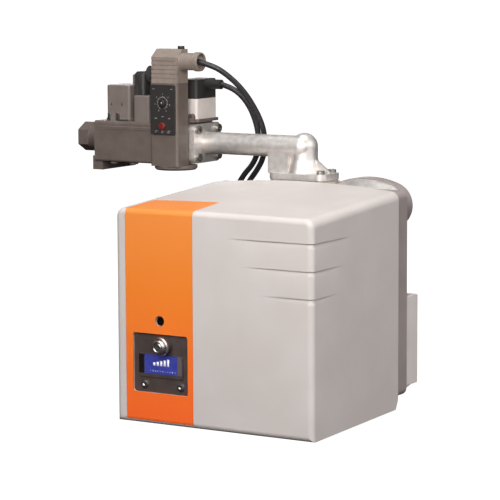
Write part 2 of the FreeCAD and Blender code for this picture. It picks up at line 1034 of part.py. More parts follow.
def controlCarrier():
    """Bent sheet bracket that carries the panel and the control box on the casing."""
    body = newBody("control_carrier")
    t = s.carrierPlate
    floor = -s.carrierBottom
    top = -s.coverScrewZ + s.coverBoss
    sketch = sideSketch(body, carrierLeft)
    outline(
        sketch,
        [
            (panelBack, floor),
            (casingBackFront, floor),
            (casingBackFront, floor + s.carrierRearFlange),
            (casingBackFront - t, floor + s.carrierRearFlange),
            (casingBackFront - t, floor + t),
            (panelBack + t, floor + t),
            (panelBack + t, top),
            (panelBack, top),
        ],
    )
    padUp(body, sketch, s.carrierWidth)
    boss = frontSketch(body, panelBack + t)
    padFront(body, ring(boss, -s.coverScrewX, -s.coverScrewZ, s.coverBoss), s.coverBoss)
    hole = frontSketch(body, panelBack)
    cutBack(body, ring(hole, -s.coverScrewX, -s.coverScrewZ, s.coverScrewShank + s.threadGap), s.coverBoss + t)
    for side in (-1, 1):
        hole = frontSketch(body, panelBack)
        ring(hole, -s.panelScrewX + side * s.panelScrewPitch / 2, -s.panelScrewZ, s.panelScrewShank + s.threadGap)
        cutBack(body, hole, t)


def controlBox():
    body = newBody("control_box")
    left = -s.windowX - s.controlBoxWidth / 2
    floor = -s.carrierBottom + s.carrierPlate
    front = panelBack + s.carrierPlate
    base = planSketch(body, floor)
    rectangle(base, left, front, left + s.controlBoxWidth, front + s.controlBoxDepth)
    padUp(body, base, s.controlBoxHeight / 3)
    lid = planSketch(body, floor + s.controlBoxHeight / 3)
    rectangle(
        lid,
        left + s.carrierPlate / 2,
        front,
        left + s.controlBoxWidth - s.carrierPlate / 2,
        front + s.controlBoxDepth - s.carrierPlate / 2,
    )
    padUp(body, lid, s.controlBoxHeight * 2 / 3)
    soften(body, "Chamfer", s.carrierPlate, edgesAt("Z", floor + s.controlBoxHeight))
    hollow = frontSketch(body, front)
    for side in (-1, 1):
        ring(hollow, -s.panelScrewX + side * s.panelScrewPitch / 2, -s.panelScrewZ, s.panelScrewHead)
    cutBack(body, hollow, s.panelThickness)
    well = frontSketch(body, front)
    ring(well, -s.coverScrewX, -s.coverScrewZ, s.coverBoss + 1)
    cutBack(body, well, s.coverBoss + 1)


def ignitionTransformer():
    body = newBody("ignition_transformer")
    left = -s.transformerX - s.transformerWidth / 2
    bottom = s.transformerZ - s.transformerHeight / 2
    front = casingBackFront - s.transformerDepth
    sketch = frontSketch(body, front)
    roundedRectangle(sketch, left, bottom, left + s.transformerWidth, bottom + s.transformerHeight, s.casingCorner / 2)
    padFront(body, sketch, s.transformerDepth)
    for side in (-1, 1):
        outlet = frontSketch(body, front - s.carrierPlate * 3)
        ring(outlet, -s.transformerX + side * s.transformerWidth / 4, bottom + s.transformerHeight / 4, s.ceramicRadius * 1.5)
        padFront(body, outlet, s.carrierPlate * 3)


def airPressureSwitch():
    depth = s.pressureCanDepth
    radius = s.pressureCanRadius
    turned(
        "air_pressure_switch",
        "Y",
        [
            (0, 0),
            (0, radius * 0.55),
            (depth * 0.4, radius * 0.55),
            (depth * 0.4, radius * 0.95),
            (depth * 0.55, radius * 0.95),
            (depth * 0.55, radius),
            (depth * 0.7, radius),
            (depth * 0.7, radius * 0.9),
            (depth, radius * 0.9),
            (depth, 0),
        ],
        s.pressureCanX,
        casingBackFront - depth,
        s.pressureCanZ,
    )


def casing():
    """Tray behind the cover, with the lip that the cover slides over and the air passages."""
    body = newBody("casing")
    left = coverLeft + s.casingInset
    right = coverRight - s.casingInset
    bottom = -s.casingBottom
    sketch = frontSketch(body, casingFront)
    roundedRectangle(sketch, left, bottom, right, s.casingTop, s.casingCorner)
    padFront(body, sketch, s.casingDepth)
    w = s.casingWall
    hollow = frontSketch(body, casingFront)
    roundedRectangle(hollow, left + w, bottom + w, right - w, s.casingTop - w, s.casingCorner - w)
    cutBack(body, hollow, s.casingDepth - s.casingBack)
    lip = frontSketch(body, casingFront - s.lipLength)
    lipLeft = coverLeft + s.coverWall + s.lipClearance
    lipRight = coverRight - s.coverWall - s.lipClearance
    drop = (s.coverRearHeight - s.coverFrontHeight) / s.coverDepth * s.lipLength
    lipTop = coverBottom + s.coverRearHeight - s.coverWall - s.lipClearance - drop
    lipBottom = bottom + s.casingWall + s.lipClearance
    r = s.coverCorner - s.coverWall - s.lipClearance
    t = s.lipWall
    outline(
        lip,
        [
            (lipLeft, lipBottom),
            (lipLeft + t, lipBottom),
            (lipLeft + t, lipTop - r, -(r - t)),
            (lipLeft + r, lipTop - t),
            (lipRight - r, lipTop - t, -(r - t)),
            (lipRight - t, lipTop - r),
            (lipRight - t, lipBottom),
            (lipRight, lipBottom),
            (lipRight, lipTop - r, r),
            (lipRight - r, lipTop),
            (lipLeft + r, lipTop, r),
            (lipLeft, lipTop - r),
        ],
    )
    padFront(body, lip, s.lipLength + s.casingDepth - s.casingBack)
    collar = frontSketch(body, casingBackFront - s.inletCollar)
    padFront(body, ring(collar, fanX, fanZ, s.inletRadius + s.scrollWall), s.inletCollar + s.casingBack)
    holes = frontSketch(body, casingBackFront - s.inletCollar)
    ring(holes, fanX, fanZ, s.inletRadius)
    ring(holes, 0, 0, s.lanceRadius + s.lanceClearance * 4)
    ring(holes, -s.damperX, -s.damperZ, s.damperShaft + s.damperBushGap)
    ring(holes, -s.grommetX, -s.grommetDrop, s.grommetRadius)
    rectangle(
        holes,
        s.windowLeftX,
        s.windowBottomZ,
        s.windowLeftX + s.windowOpenWidth,
        s.windowBottomZ + s.windowOpenHeight,
    )
    cutBack(body, holes, s.inletCollar + s.casingBack)


def cableGrommet():
    """Rubber grommet in the casing's back wall, with a collar each side and two cable holes."""
    body = newBody("cable_grommet")
    r = s.grommetRadius
    lipR = r + s.grommetLip
    wall = s.casingBack
    h = s.grommetLip
    turn(
        body,
        "Y",
        [(-wall - h, 0), (-wall - h, lipR), (-wall, lipR), (-wall, r), (0, r), (0, lipR), (h, lipR), (h, 0)],
    )
    holes = frontSketch(body, -wall - h)
    for side in (-1, 1):
        ring(holes, side * s.cableSpacing / 2, 0, s.cableRadius + s.cableClearance)
    cutBack(body, holes, wall + 2 * h)
    place(body, -s.grommetX, casingRear, -s.grommetDrop)


def scrollOutline(sketch, inset):
    """Volute of four arcs that opens toward the duct at its right."""
    left = fanX - s.scrollLeft + inset
    right = fanX + s.scrollRight - inset
    bottom = fanZ - s.scrollBottom + inset
    tongue = fanZ + s.scrollTop - inset
    top = s.scrollOutletTop - inset
    ductLeft = fanX + s.scrollRight - s.scrollOutletWidth + inset
    r = s.scrollOutletCorner - inset
    return outline(
        sketch,
        [
            (left, fanZ, (s.scrollLeft + s.scrollBottom) / 2 - inset),
            (fanX, bottom, (s.scrollBottom + s.scrollRight) / 2 - inset),
            (right, fanZ),
            (right, top - r, r),
            (right - r, top),
            (ductLeft + r, top, r),
            (ductLeft, top - r),
            (ductLeft, tongue + s.tongueRise),
            (fanX, tongue, (s.scrollTop + s.scrollLeft) / 2 - inset),
        ],
    )


def scrollHousing():
    body = newBody("scroll_housing")
    front = casingBackFront - s.scrollDepth
    padFront(body, scrollOutline(frontSketch(body, front), tied(0)), s.scrollDepth)
    hollow = scrollOutline(frontSketch(body, front + s.scrollWall), s.scrollWall)
    cutBack(body, hollow, s.scrollDepth)
    hole = ring(frontSketch(body, front), fanX, fanZ, s.fanHub + s.fanRunningGap)
    cutBack(body, hole, s.scrollWall)


def fanWheel():
    """Wheel with blades that lean forward between a back plate and a rim."""
    body = newBody("fan_wheel")
    front = casingBackFront - s.scrollDepth + s.scrollWall + s.fanRunningGap
    bore = s.shaftRadius + s.bearingFit
    plate = s.fanPlate
    turn(
        body,
        "Y",
        [
            (0, bore),
            (0, s.fanRadius),
            (plate, s.fanRadius),
            (plate, s.fanHub),
            (s.fanHubLength, s.fanHub),
            (s.fanHubLength, bore),
        ],
    )
    blade = frontSketch(body, plate * 0.5)
    inner = s.fanBladeInner
    outer = s.fanRadius - plate / 2
    lean = s.bladeLean
    t = s.bladeThickness
    bow = s.bladeBow
    outline(blade, [(inner, 0), (inner + t, -t, bow), (outer, lean), (outer - t / 2, lean + t, -bow)])
    bladePad = padFront(body, blade, s.fanWidth)
    repeatRound(body, [bladePad], "Y", s.bladeCount)
    rim = frontSketch(body, plate * 0.5 + s.fanWidth - plate)
    ring(rim, 0, 0, s.fanRadius)
    ring(rim, 0, 0, s.fanRadius - s.fanRim)
    padFront(body, rim, plate)
    place(body, fanX, front, fanZ)


motorFace = casingBackFront - s.scrollDepth
motorRear = motorFace - s.motorFlangeThickness - s.motorLength


def motorHousing():
    """Finned motor body with bearing seats at both ends; it stands on the scroll."""
    body = newBody("motor_housing")
    flange = s.motorFlangeThickness
    length = s.motorLength + flange
    seat = s.bearingOuter + s.bearingFit
    turn(
        body,
        "Y",
        [
            (0, seat),
            (0, s.motorRadius),
            (length - flange, s.motorRadius),
            (length - flange, s.motorFlange),
            (length, s.motorFlange),
            (length, s.shaftBore),
            (length - flange, s.shaftBore),
            (length - flange, seat),
            (length - flange - s.bearingWidth, seat),
            (length - flange - s.bearingWidth, s.shaftBore),
            (s.bearingWidth, s.shaftBore),
            (s.bearingWidth, seat),
        ],
    )
    fin = frontSketch(body, s.motorFin)
    half = s.finThickness / 2
    rectangle(fin, s.motorRadius - 1, -half, s.motorRadius + s.motorFin, half)
    finPad = padFront(body, fin, s.motorLength - 2 * s.motorFin)
    repeatRound(body, [finPad], "Y", s.finCount)
    place(body, fanX, motorRear, fanZ)


def motorEndBell():
    bell = s.endBellLength
    body = turned(
        "motor_end_bell",
        "Y",
        [
            (0, s.shaftBore),
            (0, s.endBellCrown),
            (bell * 0.45, s.motorRadius),
            (bell, s.motorRadius),
            (bell, s.shaftBore),
        ],
        fanX,
        motorRear - bell,
        fanZ,
    )
    slot = frontSketch(body, 0)
    rectangle(slot, s.endBellCrown * 0.5, -s.finThickness, s.endBellCrown * 0.9, s.finThickness)
    slotCut = cutBack(body, slot, bell / 3)
    repeatRound(body, [slotCut], "Y", s.finCount / 3)


def motorShaft():
    rear = motorRear - s.endBellLength - s.shaftStandOut
    front = casingBackFront - s.scrollDepth + s.scrollWall + s.fanRunningGap + s.fanHubLength
    length = front - rear
    chamfer = s.shaftRadius / 6
    turned(
        "motor_shaft",
        "Y",
        [
            (0, 0),
            (0, s.shaftRadius - chamfer),
            (chamfer, s.shaftRadius),
            (length - chamfer, s.shaftRadius),
            (length, s.shaftRadius - chamfer),
            (length, 0),
        ],
        fanX,
        rear,
        fanZ,
    )


def motorBearings():
    bearings = []
    width = s.bearingWidth
    bore = s.shaftRadius + s.bearingFit
    for y in (motorRear, motorFace - s.motorFlangeThickness - width):
        bearings.append(
            turned("bearing", "Y", [(0, bore), (0, s.bearingOuter), (width, s.bearingOuter), (width, bore)], fanX, y, fanZ)
        )
    group("motor_bearings", bearings)


def capacitor():
    r = s.capacitorRadius
    length = s.capacitorLength
    body = turned(
        "capacitor",
        "Y",
        [(0, 0), (0, r - 1), (1, r), (length - 6, r), (length - 6, r - 2), (length, r - 2), (length, 0)],
        fanX,
        motorRear + s.motorFin * 2,
        fanZ + s.motorRadius + s.motorFin + r,
    )
    saddle = frontSketch(body, length / 4)
    rectangle(saddle, -r * 0.8, -r, r * 0.8, -r * 0.5)
    padFront(body, saddle, length / 2)


def airBoxOutline(sketch, inset):
    return outline(
        sketch,
        [
            (-s.airBoxLeft + inset, -s.airBoxBottom + inset),
            (s.airBoxRight - inset, -s.airBoxBottom + inset),
            (s.airBoxRight - inset, -s.airBoxTop - inset),
            (s.airBoxSlopeX + inset / 2, -s.airBoxTop - inset),
            (s.airBoxNotchX + inset / 2, -s.airBoxNotchTop - inset),
            (-s.airBoxLeft + inset, -s.airBoxNotchTop - inset),
        ],
    )


def airBox():
    """Open tray against the casing, with the intake in its left end."""
    body = newBody("air_box")
    w = s.airBoxWall
    rear = casingRear + s.airBoxDepth
    padFront(body, airBoxOutline(frontSketch(body, casingRear), tied(0)), s.airBoxDepth)
    soften(body, "Fillet", w * 1.6, edgesAt("Y", rear))
    keel = sideSketch(body, -s.airBoxLeft + w)
    low = -s.airBoxBottom - s.airBoxChamferRise
    outline(
        keel,
        [
            (casingRear, low),
            (rear - s.airBoxChamfer / 3, -s.airBoxBottom),
            (rear - s.airBoxChamfer / 3, -s.airBoxBottom + w),
            (casingRear, -s.airBoxBottom + w),
        ],
    )
    padUp(body, keel, s.airBoxLeft + s.airBoxRight - 2 * w)
    hollow = airBoxOutline(frontSketch(body, casingRear), w)
    cutBack(body, hollow, s.airBoxDepth - w)
    intake = sideSketch(body, -s.airBoxLeft - 1)
    middle = -s.damperZ
    rectangle(
        intake,
        casingRear + s.grilleFlange,
        middle - s.intakeHeight / 2,
        casingRear + s.grilleFlange + s.intakeDepth,
        middle + s.intakeHeight / 2,
    )
    grow(body, "Pocket", intake, w * 2 + 1, True)


def intakeGrille():
    """Slatted grille that clips over the intake."""
    body = newBody("intake_grille")
    w = s.airBoxWall
    middle = -s.damperZ
    front = casingRear + s.grilleFlange / 2
    back = front + s.intakeDepth + s.grilleFlange
    low = middle - s.intakeHeight / 2 - s.grilleFlange
    high = middle + s.intakeHeight / 2 + s.grilleFlange
    plate = sideSketch(body, -s.airBoxLeft - w)
    rectangle(plate, front, low, back, high)
    padUp(body, plate, w)
    opening = sideSketch(body, -s.airBoxLeft - w)
    pitch = s.intakeHeight / s.grilleSlats
    start = middle - s.intakeHeight / 2 + pitch / 4
    rectangle(opening, front + s.grilleFlange, start, back - s.grilleFlange, start + pitch / 2)
    slot = grow(body, "Pocket", opening, w, True)
    repeatAlong(body, [slot], "Z", s.intakeHeight - pitch, s.grilleSlats)


def damper():
    """Flap in the air box on a shaft that runs through the casing to the servo motor."""
    gap = s.damperSideGap
    deep = s.airBoxDepth - s.airBoxWall - 2 * gap
    front = casingRear + gap
    flap = newBody("damper_flap")
    half = s.damperThickness / 2
    hub = s.damperShaft * 1.6
    sketch = frontSketch(flap, 0)
    rectangle(sketch, -half, -s.damperChord / 2, half, s.damperChord / 2)
    padFront(flap, sketch, deep)
    padFront(flap, ring(frontSketch(flap, 0), 0, 0, hub), deep)
    cutBack(flap, ring(frontSketch(flap, 0), 0, 0, s.damperShaft + s.bearingFit), deep)
    place(flap, -s.damperX, front, -s.damperZ)
    servoFront = casingBackFront - s.servoDepth
    start = servoFront - s.servoDialThickness - s.servoGap
    length = front + deep - start
    shaft = s.damperShaft
    turned(
        "damper_shaft", "Y", [(0, 0), (0, shaft), (length, shaft), (length, 0)], -s.damperX, start, -s.damperZ
    )
    dial = newBody("damper_dial")
    t = s.servoDialThickness
    bore = shaft + s.bearingFit
    turn(dial, "Y", [(0, bore), (0, s.servoDial - 1), (1, s.servoDial), (t, s.servoDial), (t, bore)])
    notch = frontSketch(dial, 0)
    rectangle(notch, -1, s.servoDial * 0.6, 1, s.servoDial + 1)
    cutBack(dial, notch, t)
    place(dial, -s.damperX, start, -s.damperZ)


def damperServo():
    body = newBody("damper_servo")
    half = s.servoSize / 2
    sketch = frontSketch(body, casingBackFront - s.servoDepth)
    roundedRectangle(
        sketch, -s.damperX - half, -s.damperZ - half, -s.damperX + half, -s.damperZ + half, s.casingCorner / 2
    )
    padFront(body, sketch, s.servoDepth)
    bore = frontSketch(body, casingBackFront - s.servoDepth)
    cutBack(body, ring(bore, -s.damperX, -s.damperZ, s.damperShaft + s.damperBushGap), s.servoDepth)


def headOutline(sketch, inset):
    """Round about the axis, with a lobe at the upper right and a long arc between them."""
    r = s.headRound - inset
    lobe = s.lobeRadius - inset
    arc = s.headArcRadius - inset
    diagonal = r / root(tied(2))
    side = s.headSideX - inset
    lobeDrop = root(lobe * lobe - (side - s.lobeX) * (side - s.lobeX))
    spanX = s.lobeX - s.headArcX
    spanZ = s.lobeZ + s.headArcZ
    span = root(spanX * spanX + spanZ * spanZ)
    endX = s.headArcEndX - s.headArcX
    return outline(
        sketch,
        [
            (0, -r, r),
            (diagonal, -diagonal),
            (side, -s.headSideZ + inset / 2),
            (side, s.lobeZ - lobeDrop, lobe),
            (s.headArcX + arc * spanX / span, -s.headArcZ + arc * spanZ / span, arc),
            (s.headArcEndX, -s.headArcZ + root(arc * arc - endX * endX)),
            (-diagonal, diagonal, r),
            (-r, 0, r),
        ],
    )


def headCasting():
    body = newBody("head_casting")
    inset = s.headShoulderInset
    wall = s.headWall
    rear = casingRear + s.headDepth
    shoulder = casingRear + s.headShoulder
    sections = [
        headOutline(frontSketch(body, casingRear), inset),
        headOutline(frontSketch(body, shoulder), tied(0)),
        headOutline(frontSketch(body, rear), tied(0)),
    ]
    loft(body, "AdditiveLoft", sections[::-1])
    hollows = [
        headOutline(frontSketch(body, casingRear), inset + wall),
        headOutline(frontSketch(body, shoulder), wall),
        headOutline(frontSketch(body, rear - wall), wall),
    ]
    loft(body, "SubtractiveLoft", hollows[::-1])
    hole = frontSketch(body, rear - wall * 2)
    cutBack(body, ring(hole, 0, 0, s.tubeRadius + s.tubeSeatGap), wall * 3)
    boss = frontSketch(body, casingRear)
    padFront(body, ring(boss, 0, 0, s.lanceBoss), s.headDepth - wall - s.tubeRimThickness - 1)
    riser = planSketch(body, 0)
    padUp(body, ring(riser, 0, -s.riserY, s.riserRadius), s.riserTop)
    pad = planSketch(body, s.casingTop)
    half = s.elbowBaseWidth / 2
    front = legY - s.elbowBaseDepth / 2
    roundedRectangle(pad, -half, front, half, rear, s.elbowBaseCorner)
    padUp(body, pad, s.riserTop - s.casingTop)
    gas = planSketch(body, s.riserTop)
    cutDown(body, ring(gas, 0, -s.riserY, s.riserBore), s.riserTop)
    screws = planSketch(body, s.riserTop)
    for x, y in elbowScrewPlaces():
        ring(screws, x, y, s.trainScrew + s.threadGap)
    cutDown(body, screws, s.riserTop - s.casingTop)
    axis = frontSketch(body, casingRear)
    cutBack(body, ring(axis, 0, 0, s.lanceRadius + s.lanceClearance), s.headDepth)


def headBand():
    """Dark sealing band round the rim of the head casting, open under the elbow's foot."""
    body = newBody("head_band")
    front = casingRear + s.headShoulder
    padFront(body, headOutline(frontSketch(body, front), -s.bandClearance - s.bandThickness), s.bandDepth)
    cutBack(body, headOutline(frontSketch(body, front), -s.bandClearance), s.bandDepth)
    gap = planSketch(body, 0)
    half = s.elbowBaseWidth / 2 + s.bandThickness
    rectangle(gap, -half, front - 1, half, front + s.bandDepth + 1)
    cutUp(body, gap, s.riserTop)


def blastTube():
    outer = s.tubeRadius
    inner = outer - s.tubeWall
    rim = s.tubeRimThickness
    start = casingRear + s.headDepth - s.headWall - rim
    length = s.tubeLength
    turned(
        "blast_tube",
        "Y",
        [(0, inner), (0, s.tubeRim), (rim, s.tubeRim), (rim, outer), (length, outer), (length, inner)],
        0,
        start,
        0,
    )


def boilerFlange():
    body = newBody("boiler_flange")
    half = s.boilerFlangeHalf
    face = -s.gasketThickness
    front = face - s.boilerFlangeThickness
    plate = frontSketch(body, front)
    roundedRectangle(plate, -half, -half, half, half, s.boilerFlangeCorner)
    padFront(body, plate, s.boilerFlangeThickness)
    boss = frontSketch(body, front - s.boilerBossLength)
    padFront(body, ring(boss, 0, 0, s.boilerBoss), s.boilerBossLength)
    lug = frontSketch(body, front - s.boilerBossLength)
    w = s.clampScrew * 2.5
    rectangle(lug, s.boilerBoss - w, -w, s.boilerBoss + w * 1.6, w)
    padFront(body, lug, s.boilerBossLength)
    bore = frontSketch(body, front - s.boilerBossLength)
    depth = s.boilerBossLength + s.boilerFlangeThickness
    cutBack(body, ring(bore, 0, 0, s.tubeRadius + s.tubeSeatGap), depth)
    slit = frontSketch(body, front - s.boilerBossLength)
    rectangle(slit, s.tubeRadius - 2, -1, s.boilerBoss + w * 2, 1)
    cutBack(body, slit, s.boilerBossLength)
    screwHole = planSketch(body, w)
    lugX = s.boilerBoss + w * 0.8
    cutDown(body, ring(screwHole, lugX, front - s.boilerBossLength / 2, s.clampScrew + s.threadGap), w * 2)
    hole = frontSketch(body, front)
    diagonal = s.boltCircle / 2 / root(tied(2))
    ring(hole, diagonal, diagonal, s.boltHole)
    holeCut = cutBack(body, hole, s.boilerFlangeThickness)
    repeatRound(body, [holeCut], "Y", tied(4))


def flangeGasket():
    body = newBody("flange_gasket")
    half = s.boilerFlangeHalf
    front = -s.gasketThickness
    plate = frontSketch(body, front)
    roundedRectangle(plate, -half, -half, half, half, s.boilerFlangeCorner)
    padFront(body, plate, s.gasketThickness)
    cutBack(body, ring(frontSketch(body, front), 0, 0, s.tubeRadius + s.tubeSeatGap), s.gasketThickness)
    hole = frontSketch(body, front)
    diagonal = s.boltCircle / 2 / root(tied(2))
    ring(hole, diagonal, diagonal, s.boltHole)
    holeCut = cutBack(body, hole, s.gasketThickness)
    repeatRound(body, [holeCut], "Y", tied(4))


def clampScrewPiece():
    w = s.clampScrew * 2.5
    front = -s.gasketThickness - s.boilerFlangeThickness
    head = s.clampScrew * 1.6
    screw = socketScrew(
        head,
        s.clampScrew,
        s.clampScrew,
        w * 2,
        s.boilerBoss + w * 0.8,
        front - s.boilerBossLength / 2,
        w + s.clampScrew,
        (vector(1, 0, 0), 180),
    )
    named("clamp_screw", screw)


def gasLance():
    """Sliding gas tube on the axis, threaded for the adjusting screw at its front."""
    r = s.lanceRadius
    bore = r - s.lanceWall
    front = -s.lanceFront
    length = s.lanceFront + s.lanceRear
    thread = s.adjusterRadius + s.adjusterClearance
    plug = s.adjusterThreadLength + s.lanceWall
    body = turned(
        "gas_lance",
        "Y",
        [
            (0, thread),
            (0, r),
            (length, r),
            (length, bore),
            (plug + s.lanceWall, bore),
            (plug + s.lanceWall, 0),
            (plug, 0),
            (plug, thread),
        ],
        0,
        front,
        0,
    )
    port = planSketch(body, r + 1)
    portStart = s.lanceFront - s.riserY - s.riserBore + 1
    rectangle(port, -bore / 2, portStart, bore / 2, portStart + s.lancePort)
    cutDown(body, port, r)


def gasNozzle():
    r = s.nozzleRadius
    bore = s.lanceRadius - s.lanceWall
    length = s.nozzleLength
    body = turned(
        "gas_nozzle",
        "Y",
        [(0, bore), (0, r), (length * 0.8, r), (length, r - 3), (length, 0), (length - 4, 0), (length - 4, bore)],
        0,
        s.lanceRear,
        0,
    )
    port = sideSketch(body, r + 1)
    ring(port, length / 2, 0, s.nozzlePort)
    portCut = cutDown(body, port, r - bore + 3)
    repeatRound(body, [portCut], "Y", s.nozzlePorts)


def deflectorDisc():
    """Flame disc with swirl slots and a collar that sits on the nozzle."""
    body = newBody("deflector_disc")
    t = s.deflectorThickness
    padFront(body, ring(frontSketch(body, 0), 0, 0, s.deflectorRadius), t)
    cutBack(body, ring(frontSketch(body, 0), 0, 0, s.nozzleRadius - 5), t)
    slot = frontSketch(body, 0)
    half = s.deflectorSlotWidth / 2
    start = s.deflectorSlotStart
    rectangle(slot, start, -half, start + s.deflectorSlotLength, half)
    slotCut = cutBack(body, slot, t)
    repeatRound(body, [slotCut], "Y", s.deflectorSlots)
    place(body, 0, s.lanceRear + s.nozzleLength, 0)


electrodeAngles = (60, 120, 270)


def electrodes():
    """Two ignition electrodes above and the flame probe below, in a clamp on the lance."""
    clampY = s.lanceRear - s.ceramicLength / 2
    ceramics = []
    rods = []
    clamp = newBody("electrode_clamp")
    padFront(clamp, ring(frontSketch(clamp, clampY), 0, 0, s.lanceRadius + s.clampPlate), s.clampPlate)
    for angle in electrodeAngles:
        across = math.cos(math.radians(angle))
        up = math.sin(math.radians(angle))
        x = s.electrodeSpread * across
        z = s.electrodeSpread * up
        padFront(clamp, ring(frontSketch(clamp, clampY), x, z, s.ceramicRadius + s.clampPlate * 0.75), s.clampPlate)
        half = s.clampPlate / 2
        start = s.lanceRadius
        end = s.electrodeSpread - s.ceramicRadius
        arm = [
            (start * across + half * up, start * up - half * across),
            (end * across + half * up, end * up - half * across),
            (end * across - half * up, end * up + half * across),
            (start * across - half * up, start * up + half * across),
        ]
        padFront(clamp, outline(frontSketch(clamp, clampY), arm), s.clampPlate)
        hole = ring(frontSketch(clamp, clampY), x, z, s.ceramicRadius + s.bearingFit)
        cutBack(clamp, hole, s.clampPlate)
        ceramicStart = s.lanceRear - s.ceramicLength
        fit = s.rodRadius + s.bearingFit
        ceramics.append(
            turned(
                "ceramic",
                "Y",
                [
                    (0, fit),
                    (0, s.ceramicRadius - 1),
                    (4, s.ceramicRadius),
                    (s.ceramicLength, s.ceramicRadius),
                    (s.ceramicLength, fit),
                ],
                x,
                ceramicStart,
                z,
            )
        )
        rodStart = s.lanceRear + s.nozzleLength - s.deflectorThickness - s.rodLength
        rods.append(rod(s.rodRadius, s.rodLength, x, rodStart, z))
    cutBack(clamp, ring(frontSketch(clamp, clampY), 0, 0, s.lanceRadius + s.bearingFit), s.clampPlate)
    group("electrode_ceramics", ceramics)
    group("electrode_rods", rods)


def adjustingYoke():
    """Two posts and a bar that hold the head adjusting screw in line with the lance."""
    bar = s.yokeBar
    back = casingBackFront
    front = -s.lanceFront - s.yokeStandOff
    posts = [rod(s.yokePost, back - front, side * s.yokeGap, front, 0) for side in (-1, 1)]
    reach = s.yokeGap + s.yokePost
    plate = box(-reach, front - bar, -s.yokePost * 1.5, 2 * reach, bar, s.yokePost * 3)
    hole = rod(s.adjusterRadius + s.adjusterClearance, bar + 2, 0, front - bar - 1, 0)
    named("adjusting_yoke", cut(fuse(posts + [plate]), hole))


def adjustingScrew():
    bar = s.yokeBar
    barFront = -s.lanceFront - s.yokeStandOff - bar
    gap = s.adjusterEndGap
    knob = s.adjusterKnobLength
    start = barFront - gap - knob
    collarStart = knob + gap + bar + gap
    end = s.yokeStandOff + bar + gap + knob + s.adjusterThreadLength
    r = s.adjusterRadius
    body = turned(
        "adjusting_screw",
        "Y",
        [
            (0, 0),
            (0, s.adjusterKnob - 1),
            (1, s.adjusterKnob),
            (knob, s.adjusterKnob),
            (knob, r),
            (collarStart, r),
            (collarStart, r * 1.6),
            (collarStart + 3, r * 1.6),
            (collarStart + 3, r),
            (end, r),
            (end, 0),
        ],
        0,
        start,
        0,
    )
    slot = frontSketch(body, 0)
    rectangle(slot, -s.adjusterKnob, -0.8, s.adjusterKnob, 0.8)
    cutBack(body, slot, 2)


elbowBaseBottom = s.riserTop + s.sealThickness
elbowBaseTop = elbowBaseBottom + s.elbowBaseThickness
elbowFlangeLeft = -s.elbowFlangeX


def elbowSeal():
    body = newBody("elbow_seal")
    half = s.elbowBaseWidth / 2 - 1
    front = legY - s.elbowBaseDepth / 2 + 1
    back = legY + s.elbowBaseDepth / 2 - 1
    sketch = planSketch(body, s.riserTop)
    roundedRectangle(sketch, -half, front, half, back, s.elbowBaseCorner - 1)
    padUp(body, sketch, s.sealThickness)
    cutUp(body, ring(planSketch(body, s.riserTop), 0, legY, s.elbowPipe), s.sealThickness)
    for x, y in elbowScrewPlaces():
        cutUp(body, ring(planSketch(body, s.riserTop), x, y, s.trainScrew + s.threadGap), s.sealThickness)


def elbowScrewPlaces():
    """Three corners of the foot; the gusset stands over the fourth."""
    acrossX = s.elbowBaseWidth / 2 - s.elbowScrewInset
    acrossY = s.elbowBaseDepth / 2 - s.elbowScrewInset
    return [(acrossX, legY - acrossY), (acrossX, legY + acrossY), (-acrossX, legY + acrossY)]


